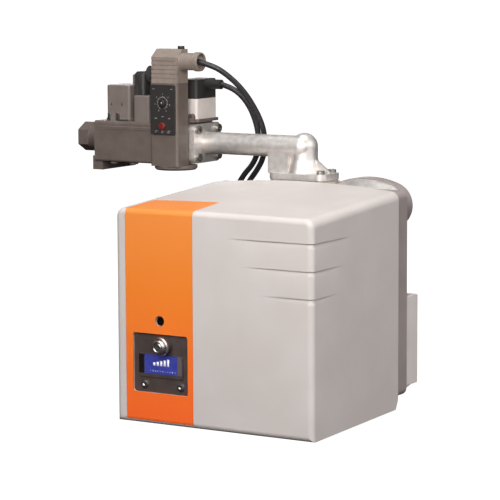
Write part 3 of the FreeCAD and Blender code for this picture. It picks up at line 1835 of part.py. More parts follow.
def gasElbow():
    """Cast elbow: foot, flared leg with a round crown, round-ended pipe and the valve flange."""
    body = newBody("gas_elbow")
    half = s.elbowBaseWidth / 2
    front = legY - s.elbowBaseDepth / 2
    back = legY + s.elbowBaseDepth / 2
    base = planSketch(body, elbowBaseBottom)
    roundedRectangle(base, -half, front, half, back, s.elbowBaseCorner)
    padUp(body, base, s.elbowBaseThickness)
    leg = sketchOn(body, "XZ_Plane", s.elbowLegY)
    outline(
        leg,
        [
            (0, elbowBaseBottom),
            (s.elbowSkirt, elbowBaseBottom),
            (s.elbowSkirt, elbowBaseTop),
            (s.elbowLeg, elbowBaseTop + s.elbowSkirtHeight),
            (s.elbowLeg, s.elbowPipeZ, s.elbowLeg),
            (0, s.elbowPipeZ + s.elbowLeg),
        ],
    )
    revolve(body, leg)
    pipe = ring(sideSketch(body, elbowFlangeLeft), pipeY, s.elbowPipeZ, s.elbowPipe)
    padUp(body, pipe, s.elbowFlangeX)
    end = sketchOn(body, "XZ_Plane", s.elbowPipeY)
    outline(
        end,
        [
            (0, s.elbowPipeZ - s.elbowPipe, s.elbowPipe),
            (s.elbowPipe, s.elbowPipeZ, s.elbowPipe),
            (0, s.elbowPipeZ + s.elbowPipe),
        ],
    )
    revolve(body, end)
    plate = sideSketch(body, elbowFlangeLeft)
    deep = s.elbowFlangeDepth / 2
    high = s.elbowFlangeHeight / 2
    roundedRectangle(plate, pipeY - deep, s.elbowPipeZ - high, pipeY + deep, s.elbowPipeZ + high, s.elbowFlangeCorner)
    padUp(body, plate, s.elbowFlangeThickness)
    gusset = planSketch(body, elbowBaseTop - 1)
    gussetRight = -s.elbowLeg + s.elbowRib
    rectangle(
        gusset,
        gussetRight - s.elbowGusset,
        pipeY - s.elbowPipe + 1,
        gussetRight,
        pipeY + s.elbowPipe - 1,
    )
    padUp(body, gusset, s.elbowPipeZ - elbowBaseTop)
    rib = sketchOn(body, "XZ_Plane", s.elbowLegY - s.elbowRib / 2)
    outline(
        rib,
        [
            (s.elbowLeg / 2, elbowBaseTop - 1),
            (half - 2, elbowBaseTop - 1),
            (half - 2, elbowBaseTop + 1),
            (s.elbowLeg / 2, s.elbowPipeZ - s.elbowRib * 2),
        ],
    )
    padUp(body, rib, s.elbowRib)
    bore = s.elbowPipe - s.elbowWall
    cutUp(body, ring(planSketch(body, elbowBaseBottom), 0, legY, bore), s.elbowPipeZ - elbowBaseBottom)
    grow(body, "Pocket", ring(sideSketch(body, elbowFlangeLeft), pipeY, s.elbowPipeZ, bore), s.elbowFlangeX, True)
    for x, y in elbowScrewPlaces():
        hole = ring(planSketch(body, elbowBaseBottom), x, y, s.trainScrew + s.threadGap)
        cutUp(body, hole, s.elbowBaseThickness)
    for y, z in valveScrewPlaces():
        hole = ring(sideSketch(body, elbowFlangeLeft), y, z, s.trainScrew + s.threadGap)
        grow(body, "Pocket", hole, s.elbowFlangeThickness, True)


def valveScrewPlaces():
    deep = s.elbowFlangeDepth / 2 - s.elbowFlangeCorner
    high = s.elbowFlangeHeight / 2 - s.elbowFlangeCorner
    return [(pipeY + side * deep, s.elbowPipeZ + level * high) for side in (-1, 1) for level in (-1, 1)]


def trainScrews():
    """Three screws in the elbow's foot and four in the valve flange."""
    screws = []
    head = s.trainScrewHead
    high = s.trainScrewHeadHeight
    length = s.elbowBaseThickness + s.sealThickness + s.riserTop - s.casingTop - s.screwTipGap
    for x, y in elbowScrewPlaces():
        screws.append(
            socketScrew(head, high, s.trainScrew, length, x, y, elbowBaseTop + high, (vector(1, 0, 0), 180))
        )
    x = elbowFlangeLeft + s.elbowFlangeThickness + high
    for y, z in valveScrewPlaces():
        length = s.elbowFlangeThickness + s.trainScrewDepth
        screws.append(socketScrew(head, high, s.trainScrew, length, x, y, z, (vector(0, 1, 0), -90)))
    group("train_screws", screws)


valveLeft = -s.valveLeft
valveRight = elbowFlangeLeft
towerRight = valveRight + s.towerProud
towerLeft = towerRight - s.towerWidth
towerX = towerRight - s.towerWidth / 2
inletZ = s.valveTop - s.inletDrop
adjustScrewLevel = s.panelPlateTop - s.panelPlateHeight + s.adjustScrewInset


def valveBody():
    """Die-cast valve: long body, tower at the outlet end, ribs and bosses underneath."""
    body = newBody("valve_body")
    side = sideSketch(body, valveLeft)
    roundedRectangle(side, -s.valveFront, s.valveBottom, -s.valveRear, s.valveTop, s.valveEdge)
    padUp(body, side, valveRight - valveLeft)
    tower = planSketch(body, s.towerFoot)
    roundedRectangle(tower, towerLeft, -s.towerFront, towerRight, -s.towerRear, s.valveEdge)
    padUp(body, tower, s.towerTop - s.towerFoot)
    foot = planSketch(body, s.valveBottom - s.footHeight)
    footLeft = valveLeft - s.footOverhang
    rectangle(foot, footLeft, -s.valveFront + s.valveEdge, footLeft + s.footWidth, -s.valveRear - s.valveEdge)
    padUp(body, foot, s.footHeight + s.valveEdge * 2)
    for x in (footLeft + s.footWidth * 2, footLeft + s.footWidth * 4):
        under = planSketch(body, s.valveBottom - s.underBossHeight)
        padUp(body, ring(under, x, -s.valveFront + s.underBoss + s.valveEdge, s.underBoss), s.underBossHeight + s.valveEdge)
    seam = frontSketch(body, -s.valveFront - 0.8)
    rectangle(seam, valveLeft + s.footWidth / 2, s.valveTop - 9, towerLeft + 1, s.valveTop - 6)
    padFront(body, seam, s.valveEdge * 2)
    inlet = ring(sideSketch(body, valveLeft), -s.inletY, inletZ, s.inletBore - 2)
    grow(body, "Pocket", inlet, s.inletLength * 2, True)
    outlet = ring(sideSketch(body, valveRight), pipeY, s.elbowPipeZ, s.elbowPipe - s.elbowWall)
    grow(body, "Pocket", outlet, s.inletLength, False)
    for y, z in valveScrewPlaces():
        hole = ring(sideSketch(body, valveRight), y, z, s.trainScrew + s.threadGap)
        grow(body, "Pocket", hole, s.trainScrewDepth + 1, False)
    for z in (s.dialZ, s.knobZ):
        pin = ring(frontSketch(body, -s.towerFront), towerX, z, s.pinRadius + s.dialClearance)
        cutBack(body, pin, s.pinLength + 1)
    for k in (-1, 0, 1):
        hole = frontSketch(body, -s.towerFront)
        ring(hole, towerX + k * s.adjustScrewPitch, adjustScrewLevel, s.adjustScrewShank + s.threadGap)
        cutBack(body, hole, s.adjustScrewLength + s.screwTipGap)


def adjustingPanel():
    body = newBody("adjusting_panel")
    half = s.panelPlateWidth / 2
    t = s.panelPlateThickness
    low = s.panelPlateTop - s.panelPlateHeight
    plate = frontSketch(body, -s.towerFront - t)
    roundedRectangle(plate, towerX - half, low, towerX + half, s.panelPlateTop, s.panelPlateCorner)
    padFront(body, plate, t)
    for z in (s.dialZ, s.knobZ):
        pin = ring(frontSketch(body, -s.towerFront - t), towerX, z, s.pinRadius + s.dialClearance)
        cutBack(body, pin, t)
    for k in (-1, 0, 1):
        hole = frontSketch(body, -s.towerFront - t)
        ring(hole, towerX + k * s.adjustScrewPitch, adjustScrewLevel, s.adjustScrewShank + s.threadGap)
        cutBack(body, hole, t)


def knobOnPanel(name, radius, height, z):
    """Knob with a screwdriver slot, turning on a pin in the tower."""
    gap = s.knobGap
    pin = s.pinRadius
    length = height + gap + s.panelPlateThickness + s.pinLength
    body = turned(
        name,
        "Y",
        [(0, 0), (0, radius - 0.6), (0.6, radius), (height, radius), (height, pin), (length, pin), (length, 0)],
        towerX,
        -s.towerFront - s.panelPlateThickness - gap - height,
        z,
    )
    slot = frontSketch(body, 0)
    rectangle(slot, -0.5, -radius * 0.7, 0.5, radius * 0.7)
    cutBack(body, slot, 1)


def valveScrews():
    screws = []
    high = s.adjustScrewHeadHeight
    length = s.adjustScrewLength + s.panelPlateThickness
    y = -s.towerFront - s.panelPlateThickness - high
    for k in (-1, 0, 1):
        x = towerX + k * s.adjustScrewPitch
        screw = socketScrew(s.adjustScrewHead, high, s.adjustScrewShank, length, x, y, adjustScrewLevel, alongY)
        screws.append(screw)
    group("valve_screws", screws)


def bottomCap():
    high = s.capHeight
    turned(
        "bottom_cap",
        "Z",
        [(0, 0), (0, s.capRadius - s.capRound), (s.capRound, s.capRadius), (high, s.capRadius), (high, 0)],
        towerX + s.capShift,
        -s.towerFront + s.capRadius,
        s.towerFoot - high,
    )


def coilCovers():
    one = newBody("coil_cover_large")
    left = -s.coilOneLeft
    sketch = planSketch(one, s.valveTop)
    front = -s.coilFront
    roundedRectangle(sketch, left, front, left + s.coilOneWidth, front + s.coilOneDepth, s.valveEdge)
    padUp(one, sketch, s.coilOneTop - s.valveTop)
    soften(one, "Fillet", s.valveEdge / 2, edgesAt("Z", s.coilOneTop))
    flange = planSketch(one, s.valveTop)
    roundedRectangle(flange, left - 1, front - 1, left + s.coilOneWidth + 1, front + s.coilOneDepth + 1, s.valveEdge)
    padUp(one, flange, s.valveEdge)
    terminal = planSketch(one, s.coilOneTop - s.valveEdge)
    right = left + s.coilOneWidth
    rear = front + s.coilOneDepth
    rectangle(terminal, right - s.terminalWidth, rear - s.terminalWidth, right - 1, rear - 1)
    padUp(one, terminal, s.terminalHeight + s.valveEdge)
    two = newBody("coil_cover_small")
    left = -s.coilTwoLeft
    sketch = planSketch(two, s.valveTop)
    roundedRectangle(sketch, left, front + 2, left + s.coilTwoWidth, front + 2 + s.coilTwoDepth, s.valveEdge)
    padUp(two, sketch, s.coilTwoTop - s.valveTop)
    soften(two, "Fillet", s.valveEdge / 2, edgesAt("Z", s.coilTwoTop))


def coilConnector():
    """Moulded connector over the small coil, with a round cap at its right."""
    body = newBody("coil_connector")
    left = -s.coilOneLeft + s.coilOneWidth + s.coilGap
    y = -s.coilFront + s.coilTwoDepth / 2
    half = s.connectorDepth / 2
    sketch = planSketch(body, s.coilTwoTop)
    roundedRectangle(sketch, left, y - half, left + s.connectorWidth, y + half, s.valveEdge)
    padUp(body, sketch, s.connectorTop - s.coilTwoTop)
    soften(body, "Chamfer", s.valveEdge, edgesAt("Z", s.connectorTop))
    dome = sideSketch(body, left + s.connectorWidth - 1)
    ring(dome, y + 2, s.connectorTop - s.domeDrop, s.domeRadius)
    padUp(body, dome, s.domeLength)


def inletUnion():
    """Threaded gas inlet: round collar on the valve and a hexagon outside."""
    body = newBody("inlet_union")
    collar = ring(sideSketch(body, valveLeft - s.inletCollarLength), -s.inletY, inletZ, s.inletCollarRadius)
    padUp(body, collar, s.inletCollarLength)
    hexagon = sideSketch(body, valveLeft - s.inletCollarLength - s.inletLength)
    corners = []
    for k in range(6):
        angle = math.radians(60 * k + 30)
        corners.append((-s.inletY + s.inletHex * math.cos(angle), inletZ + s.inletHex * math.sin(angle)))
    outline(hexagon, corners)
    padUp(body, hexagon, s.inletLength)
    bore = sideSketch(body, valveLeft - s.inletCollarLength - s.inletLength)
    ring(bore, -s.inletY, inletZ, s.inletBore)
    grow(body, "Pocket", bore, s.inletLength + s.inletCollarLength, True)


def appliancePlug():
    """Square ribbed plug with a raised sloping top and the cable gland at its right."""
    body = newBody("appliance_plug")
    right = towerRight + 0.5
    left = right - s.plugWidth
    front = -s.towerFront
    back = front + s.plugFoot
    foot = s.towerTop
    side = sideSketch(body, left)
    outline(
        side,
        [
            (front, foot),
            (back, foot),
            (back, foot + s.plugHeight),
            (front + s.plugFoot / 2, foot + s.plugHeight),
            (front, foot + s.plugHeight - s.plugSlope),
        ],
    )
    padUp(body, side, s.plugWidth)
    groove = frontSketch(body, front - 1)
    pitch = (s.plugHeight - s.plugSlope) / (s.plugRibs + 1)
    rectangle(groove, left - 1, foot + pitch, right + 1, foot + pitch + 1)
    grooveCut = cutBack(body, groove, 1.8)
    repeatAlong(body, [grooveCut], "Z", pitch * (s.plugRibs - 1), s.plugRibs)
    screw = planSketch(body, foot + s.plugHeight - 1)
    padUp(body, ring(screw, right - s.plugScrew * 2, back - s.plugScrew * 1.2, s.plugScrew), s.plugScrewHeight + 1)
    gland = ring(sideSketch(body, right - 1), glandY, s.glandZ, s.glandRadius)
    padUp(body, gland, s.glandLength - s.plugNutLength + 1)
    bore = ring(sideSketch(body, right), glandY, s.glandZ, s.cableRadius)
    grow(body, "Pocket", bore, s.glandLength, True)


glandY = -s.towerFront + s.plugFoot / 2
plugNutLeft = towerRight + 0.5 + s.glandLength - s.plugNutLength


def plugGland():
    body = newBody("plug_gland")
    length = s.plugNutLength
    turn(
        body,
        "X",
        [
            (0, s.cableRadius),
            (0, s.plugNut),
            (length, s.plugNut),
            (length, s.plugNut - s.plugNutWall),
            (length / 2, s.plugNut - s.plugNutWall),
            (length / 2, s.cableRadius),
        ],
    )
    place(body, plugNutLeft, glandY, s.glandZ)


switchLeft = -s.switchLeft
switchY = -s.switchFront + s.switchDepth / 2


def pressureSwitch():
    """Gas pressure switch: cast base, light case, dark cap with the cable gland."""
    base = newBody("pressure_switch_base")
    margin = s.switchBaseMargin
    front = -s.switchFront
    right = switchLeft + s.switchWidth
    sketch = planSketch(base, s.valveTop)
    roundedRectangle(
        sketch,
        switchLeft - margin / 2,
        front,
        right + margin / 2,
        front + s.switchDepth + margin,
        s.valveEdge,
    )
    padUp(base, sketch, s.switchBaseTop - s.valveTop)
    nipple = ring(frontSketch(base, front - s.nippleLength), -s.nippleX, s.nippleZ, s.nippleRadius)
    padFront(base, nipple, s.nippleLength)
    post = frontSketch(base, front - s.nippleLength)
    rectangle(post, -s.nippleX - s.nippleRadius, s.valveTop, -s.nippleX + s.nippleRadius, s.nippleZ)
    padFront(base, post, s.nippleLength)
    bore = ring(frontSketch(base, front - s.nippleLength), -s.nippleX, s.nippleZ, s.nippleBore)
    cutBack(base, bore, s.nippleLength - 1)
    case = newBody("pressure_switch_case")
    sketch = planSketch(case, s.switchBaseTop)
    roundedRectangle(sketch, switchLeft, front, right, front + s.switchDepth, s.valveEdge)
    padUp(case, sketch, s.switchCaseTop - s.switchBaseTop)
    cap = newBody("pressure_switch_cap")
    sketch = planSketch(cap, s.switchCaseTop)
    roundedRectangle(sketch, switchLeft, front, right, front + s.switchDepth, s.valveEdge)
    padUp(cap, sketch, s.switchCapTop - s.switchCaseTop)
    soften(cap, "Fillet", s.valveEdge / 2, edgesAt("Z", s.switchCapTop))
    gland = ring(sideSketch(cap, right - 1), switchY, s.switchGlandZ, s.switchGlandRadius)
    padUp(cap, gland, s.switchGlandLength + 1)
    bore = ring(sideSketch(cap, right), switchY, s.switchGlandZ, s.cableRadius)
    grow(cap, "Pocket", bore, s.switchGlandLength, True)


def cablePath(points):
    """Straight runs joined by tangent arcs as large as the runs allow."""
    edges = []
    start = points[0]
    for before, corner, after in zip(points, points[1:], points[2:]):
        into = corner - before
        out = after - corner
        turning = into.getAngle(out)
        shorter = min(into.Length, out.Length)
        trim = 0.45 * shorter
        radius = trim / math.tan(turning / 2)
        print(f"turn {math.degrees(turning):5.1f} deg, radius {radius:6.1f} mm, run {into.Length:5.1f} mm")
        enter = corner - into.normalize() * trim
        leave = corner + out.normalize() * trim
        toCentre = (leave - enter).cross(into.cross(leave - enter)).normalize()
        bisector = (enter + leave) * 0.5 - corner
        centre = corner + bisector.normalize() * math.hypot(radius, trim)
        middle = centre + (corner - centre).normalize() * radius
        edges.append(Part.LineSegment(start, enter).toShape())
        edges.append(Part.Arc(enter, middle, leave).toShape())
        start = leave
    edges.append(Part.LineSegment(start, points[-1]).toShape())
    return Part.Wire(edges)


def cable(name, points):
    """Round cable swept along its route."""
    path = cablePath([vector(*[float(value) for value in point]) for point in points])
    along = path.Edges[0].tangentAt(path.Edges[0].FirstParameter)
    radius = float(s.cableRadius)
    section = Part.Wire([Part.Circle(vector(*[float(value) for value in points[0]]), along, radius).toShape()])
    tube = path.makePipeShell([section], True, False)
    wanted = math.pi * radius * radius * path.Length
    print(f"{name}: length {path.Length:.1f} mm, volume {tube.Volume:.0f} of {wanted:.0f} mm3")
    thing = doc.addObject("Part::Feature", name)
    thing.Shape = tube
    thing.Label = name
    thing.Placement = FreeCAD.Placement()
    return thing


def cables():
    """Both cables arch back behind the pipe, run down behind the casing and turn into the grommet."""
    inside = casingBackFront - s.grommetLip
    entryZ = -s.grommetDrop
    plugEntry = -s.grommetX + s.cableSpacing / 2
    switchEntry = -s.grommetX - s.cableSpacing / 2
    glandEnd = plugNutLeft + s.plugNutLength / 2
    cable(
        "cable_plug",
        [
            (glandEnd, glandY, s.glandZ),
            (glandEnd + 16.5, glandY + 2, s.glandZ - 3.8),
            (-79, -98, 202),
            (-67, -85, 186),
            (-60.5, -70.5, 167),
            (-55.5, -56, 142),
            (-58.8, -46, 121.9),
            (-63.9, -41, 103),
            (-75, -38, 87.5),
            (-88, -34.5, 74.5),
            (-98, -31.5, 57),
            (-99, -30, 36),
            (-94.5, -30, 14),
            (plugEntry - 3.5, casingRear + 35.5, entryZ + 24),
            (plugEntry - 1, casingRear + 26, entryZ + 8.5),
            (plugEntry, casingRear + 10.5, entryZ),
            (plugEntry, inside, entryZ),
        ],
    )
    switchEnd = switchLeft + s.switchWidth + s.switchGlandLength
    cable(
        "cable_switch",
        [
            (switchEnd, switchY, s.switchGlandZ),
            (switchEnd + 11, switchY + 0.8, s.switchGlandZ - 2.8),
            (-82.5, -62, 177.2),
            (-74, -57.5, 165.5),
            (-68.7, -52.5, 150),
            (-66.3, -47.8, 131.5),
            (-68.3, -44, 112.5),
            (-77.5, -41.5, 95.5),
            (-91.5, -39.5, 82.5),
            (-103, -37, 66.5),
            (-107.5, -34.5, 46.5),
            (-106, -32.5, 20),
            (switchEntry - 5.5, casingRear + 35.5, entryZ + 25.5),
            (switchEntry - 1.5, casingRear + 26, entryZ + 8.5),
            (switchEntry, casingRear + 10.5, entryZ),
            (switchEntry, inside, entryZ),
        ],
    )


coverShell()
coverStripe()
coverScrew()
controlPanel()
displayWindow()
resetButton()
panelScrews()
controlCarrier()
controlBox()
ignitionTransformer()
airPressureSwitch()
casing()
cableGrommet()
scrollHousing()
fanWheel()
motorHousing()
motorEndBell()
motorShaft()
motorBearings()
capacitor()
airBox()
intakeGrille()
damper()
damperServo()
headCasting()
headBand()
blastTube()
boilerFlange()
flangeGasket()
clampScrewPiece()
gasLance()
gasNozzle()
deflectorDisc()
electrodes()
adjustingYoke()
adjustingScrew()
elbowSeal()
gasElbow()
trainScrews()
valveBody()
adjustingPanel()
knobOnPanel("flow_dial", s.dialRadius, s.dialHeight, s.dialZ)
knobOnPanel("pilot_knob", s.knobRadius, s.knobHeight, s.knobZ)
valveScrews()
bottomCap()
coilCovers()
coilConnector()
inletUnion()
appliancePlug()
plugGland()
pressureSwitch()
cables()

nodes = """
cover_shell cover_stripe cover_screw control_panel display_window reset_button
panel_screws control_carrier control_box ignition_transformer air_pressure_switch casing
cable_grommet scroll_housing fan_wheel motor_housing motor_end_bell motor_shaft motor_bearings
capacitor air_box intake_grille damper_flap damper_shaft damper_dial damper_servo head_casting
head_band blast_tube boiler_flange flange_gasket clamp_screw gas_lance gas_nozzle deflector_disc
electrode_ceramics electrode_rods electrode_clamp adjusting_yoke adjusting_screw elbow_seal
gas_elbow train_screws valve_body adjusting_panel flow_dial pilot_knob valve_screws bottom_cap
coil_cover_large coil_cover_small coil_connector inlet_union appliance_plug plug_gland
pressure_switch_base pressure_switch_case pressure_switch_cap cable_plug cable_switch
""".split()

doc.recompute()
failed = [thing.Label for thing in doc.Objects if "Invalid" in thing.State or "Error" in thing.State]
if failed:
    raise RuntimeError(f"not computed: {failed}")
os.makedirs("parts", exist_ok=True)
pieces = {thing.Label: thing for thing in doc.Objects}
for node in nodes:
    shape = pieces[node].Shape
    if shape.isNull() or not shape.isValid():
        raise RuntimeError(f"no valid shape: {node}")
for node in nodes:
    pieces[node].Shape.exportStep(f"parts/{node}.step")
    print(node, len(pieces[node].Shape.Solids), round(pieces[node].Shape.Volume))
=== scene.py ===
import json
import math

import bmesh
import bpy
from mathutils import Matrix, Vector


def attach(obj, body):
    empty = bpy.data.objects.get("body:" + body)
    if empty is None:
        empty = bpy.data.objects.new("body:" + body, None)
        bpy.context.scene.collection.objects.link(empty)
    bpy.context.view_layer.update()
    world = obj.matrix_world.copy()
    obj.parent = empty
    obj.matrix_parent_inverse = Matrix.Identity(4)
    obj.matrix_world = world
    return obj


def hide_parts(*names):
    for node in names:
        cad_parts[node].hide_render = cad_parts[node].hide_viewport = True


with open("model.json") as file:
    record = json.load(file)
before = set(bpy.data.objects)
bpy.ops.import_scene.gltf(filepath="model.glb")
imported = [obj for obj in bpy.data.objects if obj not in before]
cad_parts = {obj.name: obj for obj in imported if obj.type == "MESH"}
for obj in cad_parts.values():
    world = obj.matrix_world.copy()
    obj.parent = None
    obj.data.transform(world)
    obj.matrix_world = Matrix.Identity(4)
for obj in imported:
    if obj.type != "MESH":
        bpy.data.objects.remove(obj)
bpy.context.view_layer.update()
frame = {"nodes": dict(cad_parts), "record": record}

nodes = frame["nodes"]
scene = bpy.context.scene
mm = 0.001
print("frame loaded:", len(nodes), "CAD pieces")

# where the photograph was taken from
cameraPlace = {
    "position": (1.34696, -2.36480, 0.34460),
    "yaw": 31.597,  # degrees to the right of the front
    "pitch": 7.279,  # looking down
    "roll": -0.246,
    "focal": 2392.9,  # in pixels
    "frame": 500,  # width of the picture in pixels
    "sensor": 36,  # millimetres
    "clip": (0.1, 100),
}


def makeCamera(sight):
    yaw, pitch, roll = (math.radians(sight[k]) for k in ("yaw", "pitch", "roll"))
    ahead = Vector((-math.sin(yaw) * math.cos(pitch), math.cos(yaw) * math.cos(pitch), -math.sin(pitch)))
    flat = Vector((math.cos(yaw), math.sin(yaw), 0))
    upright = flat.cross(ahead)
    side = flat * math.cos(roll) + upright * math.sin(roll)
    top = upright * math.cos(roll) - flat * math.sin(roll)
    data = bpy.data.cameras.new("camera")
    data.sensor_width = sight["sensor"]
    data.lens = sight["focal"] / sight["frame"] * data.sensor_width
    data.clip_start, data.clip_end = sight["clip"]
    camera = bpy.data.objects.new("camera", data)
    scene.collection.objects.link(camera)
    turned = Matrix((side, top, -ahead)).transposed().to_4x4()
    camera.matrix_world = Matrix.Translation(sight["position"]) @ turned
    scene.camera = camera


makeCamera(cameraPlace)


def toLinear(hexColour):
    channels = [int(hexColour[k : k + 2], 16) / 255 for k in (1, 3, 5)]
    return [c / 12.92 if c <= 0.04045 else ((c + 0.055) / 1.055) ** 2.4 for c in channels] + [1.0]


def addNode(tree, kind, settings=None, links=None):
    node = tree.nodes.new(kind)
    for key, value in (settings or {}).items():
        if isinstance(key, int) or key in node.inputs:
            node.inputs[key].default_value = value
        else:
            setattr(node, key, value)
    for key, source in (links or {}).items():
        tree.links.new(source, node.inputs[key])
    return node


def newMaterial(name, baseHex, **settings):
    material = bpy.data.materials.new(name)
    material.use_nodes = True
    tree = material.node_tree
    shader = next(n for n in tree.nodes if n.type == "BSDF_PRINCIPLED")
    shader.inputs["Base Color"].default_value = toLinear(baseHex)
    for key, value in settings.items():
        shader.inputs[key].default_value = value
    material.diffuse_color = toLinear(baseHex)
    return material, tree, shader


def place(tree):
    return addNode(tree, "ShaderNodeTexCoord").outputs["Object"]


def remap(tree, source, fromLow, fromHigh, toLow, toHigh):
    limits = {"From Min": fromLow, "From Max": fromHigh, "To Min": toLow, "To Max": toHigh}
    return addNode(tree, "ShaderNodeMapRange", limits, {"Value": source}).outputs["Result"]


def patches(tree, sizeMm, detail):
    # soft noise across the piece, sizeMm from patch to patch
    settings = {"Scale": 1000 / sizeMm, "Detail": detail}
    return addNode(tree, "ShaderNodeTexNoise", settings, {"Vector": place(tree)}).outputs["Fac"]


def toneRamp(tree, shader, source, stops):
    # base colour from a ramp; stops: (position, colour)
    ramp = addNode(tree, "ShaderNodeValToRGB", None, {"Fac": source})
    elements = ramp.color_ramp.elements
    while len(elements) < len(stops):
        elements.new(0.5)
    for element, (spot, hexColour) in zip(elements, stops):
        element.position = spot
        element.color = toLinear(hexColour)
    tree.links.new(ramp.outputs["Color"], shader.inputs["Base Color"])


def grain(tree, shader, sizeMm, depthMm, detail=3.0, stretch=(1, 1, 1)):
    # fine relief: each grain is sizeMm across and depthMm deep
    spread = addNode(tree, "ShaderNodeMapping", {"Scale": stretch}, {"Vector": place(tree)})
    noise = addNode(
        tree, "ShaderNodeTexNoise", {"Scale": 1000 / sizeMm, "Detail": detail, "Roughness": 0.6},
        {"Vector": spread.outputs["Vector"]},
    )
    bump = addNode(
        tree, "ShaderNodeBump", {"Strength": 0.6, "Distance": depthMm * mm}, {"Height": noise.outputs["Fac"]}
    )
    tree.links.new(bump.outputs["Normal"], shader.inputs["Normal"])


def mottle(tree, shader, hexes, sizeMm, contrast=(0.35, 0.65)):
    # slow change between two tones; contrast says how much noise each one takes
    toneRamp(tree, shader, patches(tree, sizeMm, 4.0), tuple(zip(contrast, hexes)))


noiseBand = (0.3, 0.7)  # nearly all of the noise lies between these two


def gloss(tree, shader, low, high, sizeMm):
    # roughness that wanders between two values, as handled surfaces do
    wander = remap(tree, patches(tree, sizeMm, 5.0), *noiseBand, low, high)
    tree.links.new(wander, shader.inputs["Roughness"])


def glow(shader, hexColour, strength):
    shader.inputs["Emission Color"].default_value = toLinear(hexColour)
    shader.inputs["Emission Strength"].default_value = strength


paleEdgeBand = {"flat": 0.995, "sharp": 0.85, "samples": 4}  # cosines between a face and its rounded edge


def worn(tree, shader, hexColour, amount, radiusMm):
    # lighter tone along the edges
    bevel = addNode(tree, "ShaderNodeBevel", {"Radius": radiusMm * mm, "samples": paleEdgeBand["samples"]})
    geometry = addNode(tree, "ShaderNodeNewGeometry")
    dot = addNode(
        tree, "ShaderNodeVectorMath", {"operation": "DOT_PRODUCT"},
        {0: bevel.outputs["Normal"], 1: geometry.outputs["Normal"]},
    )
    edge = remap(tree, dot.outputs["Value"], paleEdgeBand["flat"], paleEdgeBand["sharp"], 0.0, amount)
    old = shader.inputs["Base Color"]
    mix = addNode(tree, "ShaderNodeMix", {"data_type": "RGBA"}, {0: edge})
    if old.links:
        tree.links.new(old.links[0].from_socket, mix.inputs[6])
    else:
        mix.inputs[6].default_value = old.default_value
    mix.inputs[7].default_value = toLinear(hexColour)
    tree.links.new(mix.outputs[2], old)


def mouldedAbs():
    # cover: painted ABS moulding; satin, very fine spark-eroded skin, soft broad highlights on the edges
    material, tree, shader = newMaterial("mouldedAbs", "#c9c0bc", Roughness=0.55, IOR=1.53)
    mottle(tree, shader, ("#c6bdb9", "#cbc3bf"), 60)
    shader.inputs["Specular IOR Level"].default_value = 0.35
    gloss(tree, shader, 0.5, 0.6, 25)
    grain(tree, shader, 0.9, 0.02)
    return material


def orangeAbs():
    # stripe: dyed ABS skin, satin; painted shade: its orange is painted lighter at the top of the stripe and
    # deeper towards its foot, standing in for light that falls from above
    material, tree, shader = newMaterial("orangeAbs", "#ee8140", Roughness=0.45, IOR=1.53)
    height = addNode(tree, "ShaderNodeSeparateXYZ", None, {"Vector": place(tree)}).outputs["Z"]
    foot, top = -0.16, 0.085  # metres
    # painted shade: height up the stripe, 0 at its foot and 1 at its top, sets how light the orange is
    # painted
    paintedShadeByHeight = remap(tree, height, foot, top, 0.0, 1.0)
    toneRamp(tree, shader, paintedShadeByHeight, ((0, "#f96726"), (0.57, "#ed8028"), (1, "#e98c42")))
    gloss(tree, shader, 0.4, 0.5, 30)
    grain(tree, shader, 0.9, 0.015)
    return material


def blackPolyamide(name="blackPolyamide", tone="#2b2727", rough=0.5):
    # controls: glass-filled polyamide; matt, slightly speckled, paler along the edges
    material, tree, shader = newMaterial(name, tone, Roughness=rough, IOR=1.53)
    grain(tree, shader, 0.7, 0.03)
    gloss(tree, shader, rough - 0.06, rough + 0.08, 8)
    worn(tree, shader, "#6d6766", 0.35, 0.4)
    return material


def panelPolycarbonate():
    # control plate: charcoal polycarbonate with a fine leather grain
    material, tree, shader = newMaterial("panelPolycarbonate", "#453a37", Roughness=0.48, IOR=1.58)
    mottle(tree, shader, ("#413632", "#4a3f3c"), 12)
    grain(tree, shader, 0.6, 0.04)
    return material


def displayGlass():
    # liquid crystal display: blue backlight seen through a polished window
    material, tree, shader = newMaterial("displayGlass", "#323a86", Roughness=0.12, IOR=1.5)
    glow(shader, "#4148a8", 0.25)
    mottle(tree, shader, ("#2d347c", "#393f8c"), 9)
    return material


def backlitSegments(name, tone, strength):
    # figures of the display: clear liquid crystal cells, lit from behind
    material, tree, shader = newMaterial(name, tone, Roughness=0.2, IOR=1.5)
    glow(shader, tone, strength)
    mottle(tree, shader, (tone, "#f4f4fa"), 3, (0.45, 0.9))
    return material


def printedScale():
    # scale on the adjusting panel: screen-printed off-white ink, slightly uneven
    material, tree, shader = newMaterial("printedScale", "#b9b2ad", Roughness=0.6, IOR=1.5)
    mottle(tree, shader, ("#a39c97", "#c9c3be"), 0.9)
    return material


def smokedPolycarbonate(name="smokedPolycarbonate", tone="#1d1719"):
    # strips beside the display: tinted clear polycarbonate over a dark print, glossy
    material, tree, shader = newMaterial(name, tone, Roughness=0.2, IOR=1.58)
    gloss(tree, shader, 0.16, 0.28, 6)
    return material


def polishedChrome():
    # reset button and panel screws: chrome plate, mirror-like with faint handling marks
    material, tree, shader = newMaterial("polishedChrome", "#d2cfce", Metallic=1.0, Roughness=0.3)
    gloss(tree, shader, 0.24, 0.38, 3)
    return material


def zincPlate():
    # screws, bracket and tubes: passivated zinc on steel, faint cloudy bloom
    material, tree, shader = newMaterial("zincPlate", "#a9a6a0", Metallic=1.0, Roughness=0.36)
    mottle(tree, shader, ("#a9a6a0", "#bcb9b3"), 6)
    gloss(tree, shader, 0.26, 0.48, 4)
    grain(tree, shader, 0.5, 0.01)
    return material


def blackenedSteel():
    # cover screw and bearings: oiled black oxide
    material, tree, shader = newMaterial("blackenedSteel", "#2c2a29", Metallic=1.0, Roughness=0.42)
    gloss(tree, shader, 0.34, 0.5, 3)
    worn(tree, shader, "#8a8683", 0.5, 0.3)
    return material


